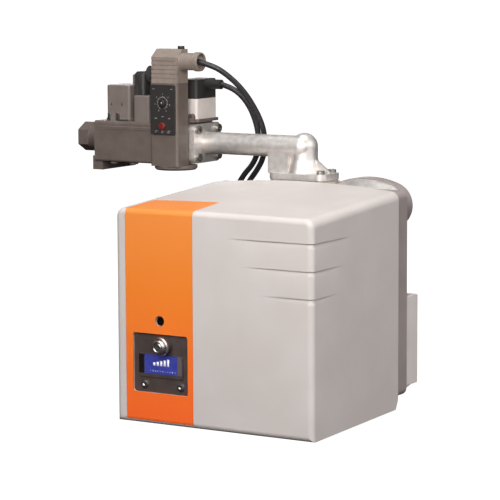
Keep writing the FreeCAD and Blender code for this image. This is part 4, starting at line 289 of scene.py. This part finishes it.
def paintedCasing():
    # casing tray: stoved grey paint on a die casting, orange-peel 2 mm across
    material, tree, shader = newMaterial("paintedCasing", "#9c918e", Roughness=0.45, IOR=1.5)
    mottle(tree, shader, ("#978c89", "#a09592"), 40)
    grain(tree, shader, 2.0, 0.03, 1.0)
    worn(tree, shader, "#b3aaa6", 0.4, 0.6)
    return material


def airBoxPlastic():
    # air box: light grey polypropylene, waxy and matt
    material, tree, shader = newMaterial("airBoxPlastic", "#ddd3cf", Roughness=0.52, IOR=1.49)
    mottle(tree, shader, ("#dad0cc", "#e0d6d2"), 35)
    grain(tree, shader, 1.2, 0.03)
    return material


def castAluminium():
    # elbow and head: sand-cast aluminium, tumbled; bright but soft, with a 1.6 mm sand skin
    material, tree, shader = newMaterial("castAluminium", "#ded8d3", Metallic=0.8, Roughness=0.46)
    mottle(tree, shader, ("#d5cfca", "#e7e2de"), 7)
    gloss(tree, shader, 0.4, 0.54, 5)
    grain(tree, shader, 1.6, 0.07, 4.0)
    return material


def dieCastPaint(name="dieCastPaint", tones=("#62564f", "#6a5e59")):
    # valve: die-cast zinc with a grey powder coat, 1.1 mm texture
    material, tree, shader = newMaterial(name, tones[0], Roughness=0.42, IOR=1.5)
    mottle(tree, shader, tones, 14)
    grain(tree, shader, 1.1, 0.06)
    gloss(tree, shader, 0.36, 0.5, 5)
    worn(tree, shader, "#a59a94", 0.5, 0.5)
    return material


def beigePolyamide():
    # appliance plug: grey-beige polyamide, satin
    material, tree, shader = newMaterial("beigePolyamide", "#8b7e75", Roughness=0.44, IOR=1.53)
    mottle(tree, shader, ("#867970", "#908379"), 10)
    grain(tree, shader, 0.8, 0.04)
    return material


def greyPolycarbonate():
    # switch case, capacitor and dials: light grey polycarbonate
    material, tree, shader = newMaterial("greyPolycarbonate", "#d8cec8", Roughness=0.4, IOR=1.58)
    mottle(tree, shader, ("#d4cac4", "#dbd1cb"), 12)
    grain(tree, shader, 0.8, 0.03)
    return material


def redAcetal():
    # pilot knob: red acetal
    material, tree, shader = newMaterial("redAcetal", "#742420", Roughness=0.34, IOR=1.48)
    mottle(tree, shader, ("#6d211d", "#7c2924"), 3)
    grain(tree, shader, 0.4, 0.02)
    return material


def galvanisedSheet():
    # fan wheel, tube and discs: galvanised steel, spangle 6 mm across
    material, tree, shader = newMaterial("galvanisedSheet", "#9b9c9c", Metallic=1.0, Roughness=0.4)
    spangleMm = 6
    cells = addNode(tree, "ShaderNodeTexVoronoi", {"Scale": 1000 / spangleMm}, {"Vector": place(tree)})
    toneRamp(tree, shader, cells.outputs["Color"], ((0, "#8f9091"), (1, "#a9aaaa")))
    gloss(tree, shader, 0.32, 0.48, spangleMm)
    return material


def glazedCeramic():
    # electrode insulators: glazed alumina
    material, tree, shader = newMaterial("glazedCeramic", "#e9e2d3", Roughness=0.16, IOR=1.6)
    mottle(tree, shader, ("#e4dccb", "#eee8da"), 8)
    return material


def turnedBrass():
    # nozzle and adjusting screw: turned brass with fine tool rings
    material, tree, shader = newMaterial("turnedBrass", "#c8a35a", Metallic=1.0, Roughness=0.26)
    gloss(tree, shader, 0.2, 0.34, 2)
    grain(tree, shader, 0.5, 0.02, 2.0, (0.1, 1, 0.1))
    return material


def mineralGasket():
    # gaskets: pressed mineral fibre, matt and felted
    material, tree, shader = newMaterial("mineralGasket", "#a59f92", Roughness=0.9, IOR=1.45)
    mottle(tree, shader, ("#978f81", "#b3ad9f"), 2.5)
    grain(tree, shader, 1.2, 0.2, 6.0)
    return material


def pvcSheath():
    # cables and grommet: black PVC, soft sheen with extrusion bloom
    material, tree, shader = newMaterial("pvcSheath", "#232022", Roughness=0.46, IOR=1.53)
    gloss(tree, shader, 0.38, 0.56, 5)
    grain(tree, shader, 0.6, 0.02)
    return material


slotMaterials = {
    "cover_plastic": mouldedAbs(),
    "stripe_orange": orangeAbs(),
    "panel_black": panelPolycarbonate(),
    "display_glass": displayGlass(),
    "chrome": polishedChrome(),
    "zinc_steel": zincPlate(),
    "dark_steel": blackenedSteel(),
    "casing_grey": paintedCasing(),
    "air_box_grey": airBoxPlastic(),
    "cast_aluminium": castAluminium(),
    "valve_grey": dieCastPaint(),
    "device_black": blackPolyamide(),
    "plug_beige": beigePolyamide(),
    "switch_grey": greyPolycarbonate(),
    "knob_red": redAcetal(),
    "fan_steel": galvanisedSheet(),
    "ceramic": glazedCeramic(),
    "brass": turnedBrass(),
    "gasket_fibre": mineralGasket(),
    "black_rubber": pvcSheath(),
}
print("materials made:", len(slotMaterials))

# both cables follow the route of their solids, from the gland to the grommet behind the casing
cableSheath = {
    "diameter": 6.4,
    "roundness": 6,
    "smoothness": 16,
    "routes": {  # millimetres
        "cable_plug": [
            (-108.5, -107, 214.3), (-92, -105, 210.5), (-79, -98, 202), (-67, -85, 186),
            (-60.5, -70.5, 167), (-55.5, -56, 142), (-58.8, -46, 121.9), (-63.9, -41, 103),
            (-75, -38, 87.5), (-88, -34.5, 74.5), (-98, -31.5, 57), (-99, -30, 36),
            (-94.5, -30, 14), (-89.5, -31.5, -6), (-87, -41, -21.5), (-86, -56.5, -30),
            (-86, -72, -30),
        ],
        "cable_switch": [
            (-104, -66, 187), (-93, -65.2, 184.2), (-82.5, -62, 177.2), (-74, -57.5, 165.5),
            (-68.7, -52.5, 150), (-66.3, -47.8, 131.5), (-68.3, -44, 112.5), (-77.5, -41.5, 95.5),
            (-91.5, -39.5, 82.5), (-103, -37, 66.5), (-107.5, -34.5, 46.5), (-106, -32.5, 20),
            (-99.5, -31.5, -4.5), (-95.5, -41, -21.5), (-94, -56.5, -30), (-94, -72, -30),
        ],
    },
    "lengths": {"cable_plug": 0.325, "cable_switch": 0.276},  # metres
}


def makeCable(node, route):
    data = bpy.data.curves.new(node + "_line", "CURVE")
    data.dimensions = "3D"
    data.bevel_depth = cableSheath["diameter"] / 2 * mm
    data.bevel_resolution = cableSheath["roundness"]
    spline = data.splines.new("NURBS")
    spline.points.add(len(route) - 1)
    for point, spot in zip(spline.points, route):
        point.co = (*[value * mm for value in spot], 1)
    spline.order_u = 3
    spline.use_endpoint_u = True
    spline.resolution_u = cableSheath["smoothness"]
    cable = bpy.data.objects.new(node + "_sheath", data)
    scene.collection.objects.link(cable)
    data.materials.append(slotMaterials["black_rubber"])
    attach(cable, "burner")
    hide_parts(node)


for node, route in cableSheath["routes"].items():
    makeCable(node, route)
print("cables laid")

# the solids: soft edges and real finishes
edgeRounding = {  # millimetres; 0 leaves the edges sharp
    "default": 0.35, "cover_shell": 0.5, "cover_stripe": 0, "gas_elbow": 0.9,
    "head_casting": 0.8, "valve_body": 0.7, "casing": 0.6, "air_box": 0.5,
}
edgeAngle = math.radians(32)  # flatter than this is a curved face, not an edge
slotOf = {row["node"]: row["material_slot"] for row in frame["record"]["subparts"]}


def softenEdges(piece, radiusMm):
    weld = piece.modifiers.new("weld", "WELD")
    weld.merge_threshold = 0.002 * mm  # joins the seams between the faces of a solid
    if radiusMm:
        bevel = piece.modifiers.new("edges", "BEVEL")
        bevel.width = radiusMm * mm
        bevel.segments = 2
        bevel.limit_method = "ANGLE"
        bevel.angle_limit = edgeAngle
        bevel.harden_normals = False
        bevel.use_clamp_overlap = True
    else:
        split = piece.modifiers.new("edges", "EDGE_SPLIT")
        split.split_angle = edgeAngle
    for face in piece.data.polygons:
        face.use_smooth = True
    normals = piece.modifiers.new("shading", "WEIGHTED_NORMAL")
    normals.keep_sharp = False
    normals.weight = 80


for name, piece in nodes.items():
    piece.data.materials.clear()
    piece.data.materials.append(slotMaterials[slotOf[name]])
    softenEdges(piece, edgeRounding.get(name, edgeRounding["default"]))
print("CAD pieces dressed")


# small pieces that the solids don't carry, each set on the solid that bears it
def newPiece(name, mesh, body, slot, finish=None, roundMm=0.0):
    piece = bpy.data.objects.new(name, mesh)
    scene.collection.objects.link(piece)
    mesh.materials.append(finish or slotMaterials[slot])
    for face in mesh.polygons:
        face.use_smooth = True
    if roundMm:
        softenEdges(piece, roundMm)
    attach(piece, body)
    return piece


def finishMesh(name, shape):
    bmesh.ops.recalc_face_normals(shape, faces=shape.faces)
    mesh = bpy.data.meshes.new(name)
    shape.to_mesh(mesh)
    shape.free()
    return mesh


def turnedMesh(name, profile, start, axis, steps=48):
    # profile: (distance along the axis, radius) in millimetres
    axis = Vector(axis).normalized()
    across = axis.orthogonal().normalized()
    other = axis.cross(across)
    angles = [2 * math.pi * k / steps for k in range(steps)]
    shape = bmesh.new()
    rings = []
    for along, radius in profile:
        middle = Vector(start) + axis * along
        if radius == 0:
            rings.append([shape.verts.new(middle * mm)])
            continue
        spokes = [across * math.cos(angle) + other * math.sin(angle) for angle in angles]
        rings.append([shape.verts.new((middle + spoke * radius) * mm) for spoke in spokes])
    for low, high in zip(rings, rings[1:]):
        for k in range(steps):
            after = k + 1
            corners = [low[k % len(low)], low[after % len(low)], high[after % len(high)], high[k % len(high)]]
            shape.faces.new(list(dict.fromkeys(corners)))
    return finishMesh(name, shape)


def plateMesh(name, outlines, frontY, thick):
    # outlines: lists of (x, z) corners in millimetres; each becomes a plate that faces the front
    shape = bmesh.new()
    for outline in outlines:
        near = [shape.verts.new((x * mm, frontY * mm, z * mm)) for x, z in outline]
        far = [shape.verts.new((x * mm, (frontY + thick) * mm, z * mm)) for x, z in outline]
        shape.faces.new(near)
        shape.faces.new(far[::-1])
        for k in range(len(near)):
            after = (k + 1) % len(near)
            shape.faces.new((near[k], far[k], far[after], near[after]))
    return finishMesh(name, shape)


def rect(left, low, right, high):
    return [(left, low), (right, low), (right, high), (left, high)]


def tick(centre, angle, near, far, width):
    # one mark of a round scale, from radius near to far
    ray = Vector((math.sin(angle), math.cos(angle)))
    side = Vector((ray.y, -ray.x)) * width / 2
    middle = Vector(centre)
    return [tuple(middle + ray * r + side * k) for r, k in ((near, -1), (near, 1), (far, 1), (far, -1))]


# five rising bars over a row of dashes, and a dark strip at each side of the glass
display = {
    "glass": -272.9, "bezel": -273.2, "segmentProud": 0.1, "segmentThick": 0.15,
    "bars": 5, "barLeft": -61.8, "barLow": -101, "barWidth": 2.7, "barPitch": 4.4,
    "barHeight": 3.2, "barRise": 1.1,
    "dashes": 11, "dashLeft": -66, "dashLow": -107.8, "dashPitch": 3.1, "dashSize": 1.5,
    "shade": (-79.6, -73.3), "strip": (-30.6, -25.2), "stripLow": -109.9, "stripHigh": -89.5,
    "stripProud": 0.3, "stripThick": 0.5, "stripRound": 0.15,
}


def makeDisplay(sizes):
    bars = []
    for k in range(sizes["bars"]):
        left = sizes["barLeft"] + k * sizes["barPitch"]
        high = sizes["barLow"] + sizes["barHeight"] + sizes["barRise"] * k
        bars.append(rect(left, sizes["barLow"], left + sizes["barWidth"], high))
    dashes = []
    low, size = sizes["dashLow"], sizes["dashSize"]
    for k in range(sizes["dashes"]):
        left = sizes["dashLeft"] + k * sizes["dashPitch"]
        dashes.append(rect(left, low, left + size, low + size))
    front = sizes["glass"] - sizes["segmentProud"]
    bright = backlitSegments("brightSegments", "#e6e6f2", 0.35)
    faint = backlitSegments("faintSegments", "#5d62b4", 0.12)
    for name, outlines, finish in (("display_gauge", bars, bright), ("display_dashes", dashes, faint)):
        mesh = plateMesh(name, outlines, front, sizes["segmentThick"])
        newPiece(name, mesh, "burner", "display_glass", finish)
    edge = sizes["bezel"] - sizes["stripProud"]
    finishes = {"shade": smokedPolycarbonate(), "strip": smokedPolycarbonate("smokedStrip", "#65585b")}
    for side, finish in finishes.items():
        left, right = sizes[side]
        outline = rect(left, sizes["stripLow"], right, sizes["stripHigh"])
        mesh = plateMesh("display_" + side, [outline], edge, sizes["stripThick"])
        newPiece("display_" + side, mesh, "burner", "panel_black", finish, sizes["stripRound"])


makeDisplay(display)

# chromed collar round the barrel, and a dished cap with a groove on the button
reset = {
    "x": -46.5, "z": -78.5, "barrelFront": -283, "buttonFront": -287, "collarProud": 0.8, "capProud": 0.6,
    "collar": 9.9, "bore": 7.7, "collarDeep": 4.5, "lip": 0.5, "crown": 0.9, "edge": 0.3, "shoulder": 1,
    "capFace": [  # (depth, radius)
        (0.35, 0), (0.3, 1.6), (0.05, 3.4), (0, 3.9), (0.45, 4.1), (0.45, 4.6),
        (0, 4.8), (0, 6.2), (0.4, 6.6), (0.9, 6.6), (0.9, 0),
    ],
}


def makeReset(sizes):
    wide, bore, deep = sizes["collar"], sizes["bore"], sizes["collarDeep"]
    lip, edge = sizes["lip"], sizes["edge"]
    ring = [
        (lip, bore), (0, bore + lip), (0, wide - sizes["crown"]), (edge, wide - edge),
        (sizes["shoulder"], wide), (deep - edge, wide), (deep, wide - edge), (deep, bore), (lip, bore),
    ]
    backward = (0, 1, 0)
    collar = turnedMesh(
        "reset_collar", ring, (sizes["x"], sizes["barrelFront"] - sizes["collarProud"], sizes["z"]), backward
    )
    newPiece("reset_collar", collar, "burner", "chrome")
    start = (sizes["x"], sizes["buttonFront"] - sizes["capProud"], sizes["z"])
    cap = turnedMesh("reset_cap", sizes["capFace"], start, backward)
    newPiece("reset_cap", cap, "reset_button", "chrome")


makeReset(reset)

# printed ring of ticks and plain numbers round the flow dial, and five short bars where words would be
scale = {
    "x": -149, "z": 167.5, "front": -120, "start": -150, "sweep": 300, "inkProud": 0.08, "inkThick": 0.1,
    "ticks": 25, "near": 6, "far": 7.8, "shorter": 0.7, "tickWidth": 0.45,
    "numbers": 7, "numberRadius": 10, "numberSize": 2.4, "numberProud": 0.06, "numberThick": 0.05,
    "barLength": 2.8, "barWidth": 0.5,
    "bars": ((-161, 183), (-137, 183), (-149, 152), (-158, 150), (-140, 150)),
}


def numberMesh(value, sizes):
    data = bpy.data.curves.new("scale_figure", "FONT")
    data.body = str(value)
    data.size = sizes["numberSize"] * mm
    data.extrude = sizes["numberThick"] * mm
    data.align_x, data.align_y = "CENTER", "CENTER"
    shown = bpy.data.objects.new("scale_figure", data)
    mesh = bpy.data.meshes.new_from_object(shown)
    bpy.data.objects.remove(shown)
    return mesh


def makeScale(sizes):
    centre = (sizes["x"], sizes["z"])
    marks = []
    for k in range(sizes["ticks"]):
        angle = math.radians(sizes["start"] + sizes["sweep"] * k / (sizes["ticks"] - 1))
        far = sizes["far"] - (k % 2) * sizes["shorter"]
        marks.append(tick(centre, angle, sizes["near"], far, sizes["tickWidth"]))
    half = sizes["barLength"] / 2
    for x, z in sizes["bars"]:
        marks.append(rect(x - half, z, x + half, z + sizes["barWidth"]))
    ink = printedScale()
    ticks = plateMesh("scale_ticks", marks, sizes["front"] - sizes["inkProud"], sizes["inkThick"])
    newPiece("scale_ticks", ticks, "burner", "device_black", ink)
    upright = Matrix.Rotation(math.radians(90), 4, "X")
    reach = sizes["numberRadius"]
    for k in range(sizes["numbers"]):
        angle = math.radians(sizes["start"] + sizes["sweep"] * k / (sizes["numbers"] - 1))
        x = sizes["x"] + math.sin(angle) * reach
        y = sizes["front"] - sizes["numberProud"]
        z = sizes["z"] + math.cos(angle) * reach
        mesh = numberMesh(k, sizes)
        mesh.transform(Matrix.Translation((x * mm, y * mm, z * mm)) @ upright)
        newPiece("scale_number_%d" % k, mesh, "burner", "device_black", ink)


makeScale(scale)

# the flow dial is black, with a bright pin at its centre
dial = {
    "x": -149, "z": 167.5, "front": -122.8, "tone": "#242122", "roughness": 0.42,
    "pin": 1.3, "pinProud": 0.5, "pinDeep": 1, "dome": 0.5, "edge": 0.3, "steps": 24,
}


def makeDial(sizes):
    finish = blackPolyamide("dialPolyamide", sizes["tone"], sizes["roughness"])
    nodes["flow_dial"].data.materials.clear()
    nodes["flow_dial"].data.materials.append(finish)
    wide, edge, deep = sizes["pin"], sizes["edge"], sizes["pinDeep"]
    profile = [(edge, 0), (0, sizes["dome"]), (0, wide - edge), (edge, wide), (deep, wide), (deep, 0)]
    start = (sizes["x"], sizes["front"] - sizes["pinProud"], sizes["z"])
    pin = turnedMesh("dial_pin", profile, start, (0, 1, 0), sizes["steps"])
    newPiece("dial_pin", pin, "flow_dial", "chrome")


makeDial(dial)

# black screw cap on the plug, and the grip rings of its gland nut
plugTrim = {
    "screw": (-136.4, -99.84, 228), "screwRadius": 3.9, "screwFoot": 0.1, "screwHigh": 3.3, "screwEdge": 0.4,
    "gland": (-112, -107, 214.3), "glandRadius": 10.6, "rings": (0.9, 2.7, 4.5), "ringProud": 0.3,
    "ringFoot": 0.6, "ringTop": 0.45,
}


def makePlugTrim(sizes):
    wide, foot, high, edge = (sizes[k] for k in ("screwRadius", "screwFoot", "screwHigh", "screwEdge"))
    profile = [(foot, 0), (foot, wide), (high - edge, wide), (high, wide - edge), (high, 0)]
    cap = turnedMesh("plug_screw_cap", profile, sizes["screw"], (0, 0, 1))
    newPiece("plug_screw_cap", cap, "burner", "device_black")
    low, high = (sizes["glandRadius"] + side * sizes["ringProud"] for side in (-1, 1))
    foot, top = sizes["ringFoot"], sizes["ringTop"]
    for k, along in enumerate(sizes["rings"]):
        grip = [(along - foot, low), (along - top, high), (along + top, high), (along + foot, low)]
        grip.append(grip[0])
        mesh = turnedMesh("gland_grip", grip, sizes["gland"], (1, 0, 0))
        newPiece("gland_grip_%d" % k, mesh, "burner", "plug_beige")


makePlugTrim(plugTrim)

# bent sheet lugs and clip at the foot of the large coil, and two thin black plates in its face, painted shade
# standing in for the dark inside of its two cooling slots
coil = {
    "front": -108, "foot": 144.5, "lugs": (-229.5, -218), "lugHalf": 2, "lugLow": 0.5, "lugHigh": 9,
    "clip": (-216, -201.5), "clipHigh": 2.2, "sheetProud": 2.2, "sheetThick": 2.4, "sheetRound": 0.4,
    "slots": ((-226.9, 163.4), (-212.6, 163.6)), "slotHalf": 0.7, "slotHalfHeight": 1.7, "slotProud": 0.06,
    "slotThick": 0.1, "tones": ("#736862", "#7a6f69"),
}


def makeCoilTrim(sizes):
    front, half = sizes["front"], sizes["lugHalf"]
    low, high = sizes["foot"] + sizes["lugLow"], sizes["foot"] + sizes["lugHigh"]
    left, right = sizes["clip"]
    sheet = [rect(x - half, low, x + half, high) for x in sizes["lugs"]]
    sheet.append(rect(left, low, right, sizes["foot"] + sizes["clipHigh"]))
    lugs = plateMesh("coil_lugs", sheet, front - sizes["sheetProud"], sizes["sheetThick"])
    newPiece("coil_lugs", lugs, "burner", "zinc_steel", None, sizes["sheetRound"])
    # painted shade: thin black plates where the cooling slots are, in place of the shade inside them
    wide, tall = sizes["slotHalf"], sizes["slotHalfHeight"]
    outlines = [rect(x - wide, z - tall, x + wide, z + tall) for x, z in sizes["slots"]]
    slots = plateMesh("coil_slot_shade", outlines, front - sizes["slotProud"], sizes["slotThick"])
    newPiece("coil_slot_shade", slots, "burner", "device_black")
    paint = dieCastPaint("coilPaint", sizes["tones"])  # the coil covers are a shade lighter than the valve
    for name in ("coil_cover_large", "coil_cover_small"):
        nodes[name].data.materials[0] = paint


makeCoilTrim(coil)
print("small pieces fitted")

# a pale floor that sweeps up all round, and soft light
studio = {
    "floorLevel": -2.4, "radius": 9.0, "sweep": 3.0, "wall": 9.0, "sides": 48, "steps": 12,
    "floorHex": "#ffffff", "roughness": 0.9, "glow": 1.0,
}


def sweepOutline(sizes):
    # the sweep from its middle to the top of its wall, as (radius, height)
    level, sweep = sizes["floorLevel"], sizes["sweep"]
    flat = sizes["radius"] - sweep
    outline = [(0.0, level)]
    for k in range(sizes["steps"] + 1):
        angle = math.radians(90 * k / sizes["steps"])
        outline.append((flat + sweep * math.sin(angle), level + sweep * (1 - math.cos(angle))))
    outline.append((sizes["radius"], level + sizes["wall"]))
    return outline


def makeStudio(sizes):
    outline = sweepOutline(sizes)
    sides = sizes["sides"]
    points = [(0, 0, sizes["floorLevel"])]
    for reach, z in outline[1:]:
        for step in range(sides):
            angle = 2 * math.pi * step / sides
            points.append((reach * math.cos(angle), reach * math.sin(angle), z))
    faces = [(0, 1 + step, 1 + (step + 1) % sides) for step in range(sides)]
    for ring in range(len(outline) - 2):
        low = 1 + ring * sides
        for step in range(sides):
            after = (step + 1) % sides
            faces.append((low + step, low + sides + step, low + sides + after, low + after))
    mesh = bpy.data.meshes.new("backdrop")
    mesh.from_pydata(points, [], faces)
    for face in mesh.polygons:
        face.use_smooth = True
    material, _, shader = newMaterial("paperSweep", sizes["floorHex"], Roughness=sizes["roughness"])
    glow(shader, sizes["floorHex"], sizes["glow"])
    mesh.materials.append(material)
    backdrop = bpy.data.objects.new("backdrop", mesh)
    scene.collection.objects.link(backdrop)
    backdrop.visible_diffuse = False  # white paper, but not a second lamp under the burner
    backdrop.visible_glossy = False


makeStudio(studio)

lamps = {  # name: (position, aimed at, width, height, watts)
    "key": ((0.3, -1.3, 0.7), (0, -0.27, -0.03), 1.2, 0.9, 19),
    "top": ((0.0, -0.3, 2.2), (0, -0.15, 0), 1.6, 1.6, 29),
    "right": ((2.1, 0.0, 0.9), (0.1, -0.15, 0.05), 1.8, 1.6, 19),
    "rim": ((0.3, 1.5, 1.9), (0, 0, 0.1), 1.4, 0.8, 2),
    "back": ((-2.3, 2.3, 0.35), (-0.1, 0, 0), 1.8, 1.4, 30),  # for the sides that the camera never sees
    "low": ((0.9, -0.15, -0.5), (0.13, -0.15, -0.1), 0.5, 0.4, 0.5),
    "card": ((1.9, -3.0, 1.5), (0, -0.1, 0.1), 4.5, 3.0, 52),  # large and dim, for the castings to mirror
}


def makeLamps(rows):
    for name, (position, target, width, height, watts) in rows.items():
        data = bpy.data.lights.new(name, "AREA")
        data.shape = "RECTANGLE"
        data.size, data.size_y = width, height
        data.energy = watts
        lamp = bpy.data.objects.new(name, data)
        scene.collection.objects.link(lamp)
        lamp.location = position
        lamp.rotation_mode = "QUATERNION"
        lamp.rotation_quaternion = (Vector(target) - Vector(position)).to_track_quat("-Z", "Y")


makeLamps(lamps)
studioAir = {"above": 0.86, "below": 0.17, "fade": 0.6}  # light from the room, brighter overhead


def makeWorld(strengths):
    world = bpy.data.worlds.new("studio")
    scene.world = world
    world.use_nodes = True
    tree = world.node_tree
    direction = addNode(tree, "ShaderNodeTexCoord").outputs["Generated"]
    height = addNode(tree, "ShaderNodeSeparateXYZ", None, {"Vector": direction}).outputs["Z"]
    fade = strengths["fade"]
    strength = remap(tree, height, -fade, fade, strengths["below"], strengths["above"])
    tree.links.new(strength, tree.nodes["Background"].inputs["Strength"])


makeWorld(studioAir)
scene.view_settings.view_transform = "Standard"
scene.view_settings.look = "None"
print("studio lit")
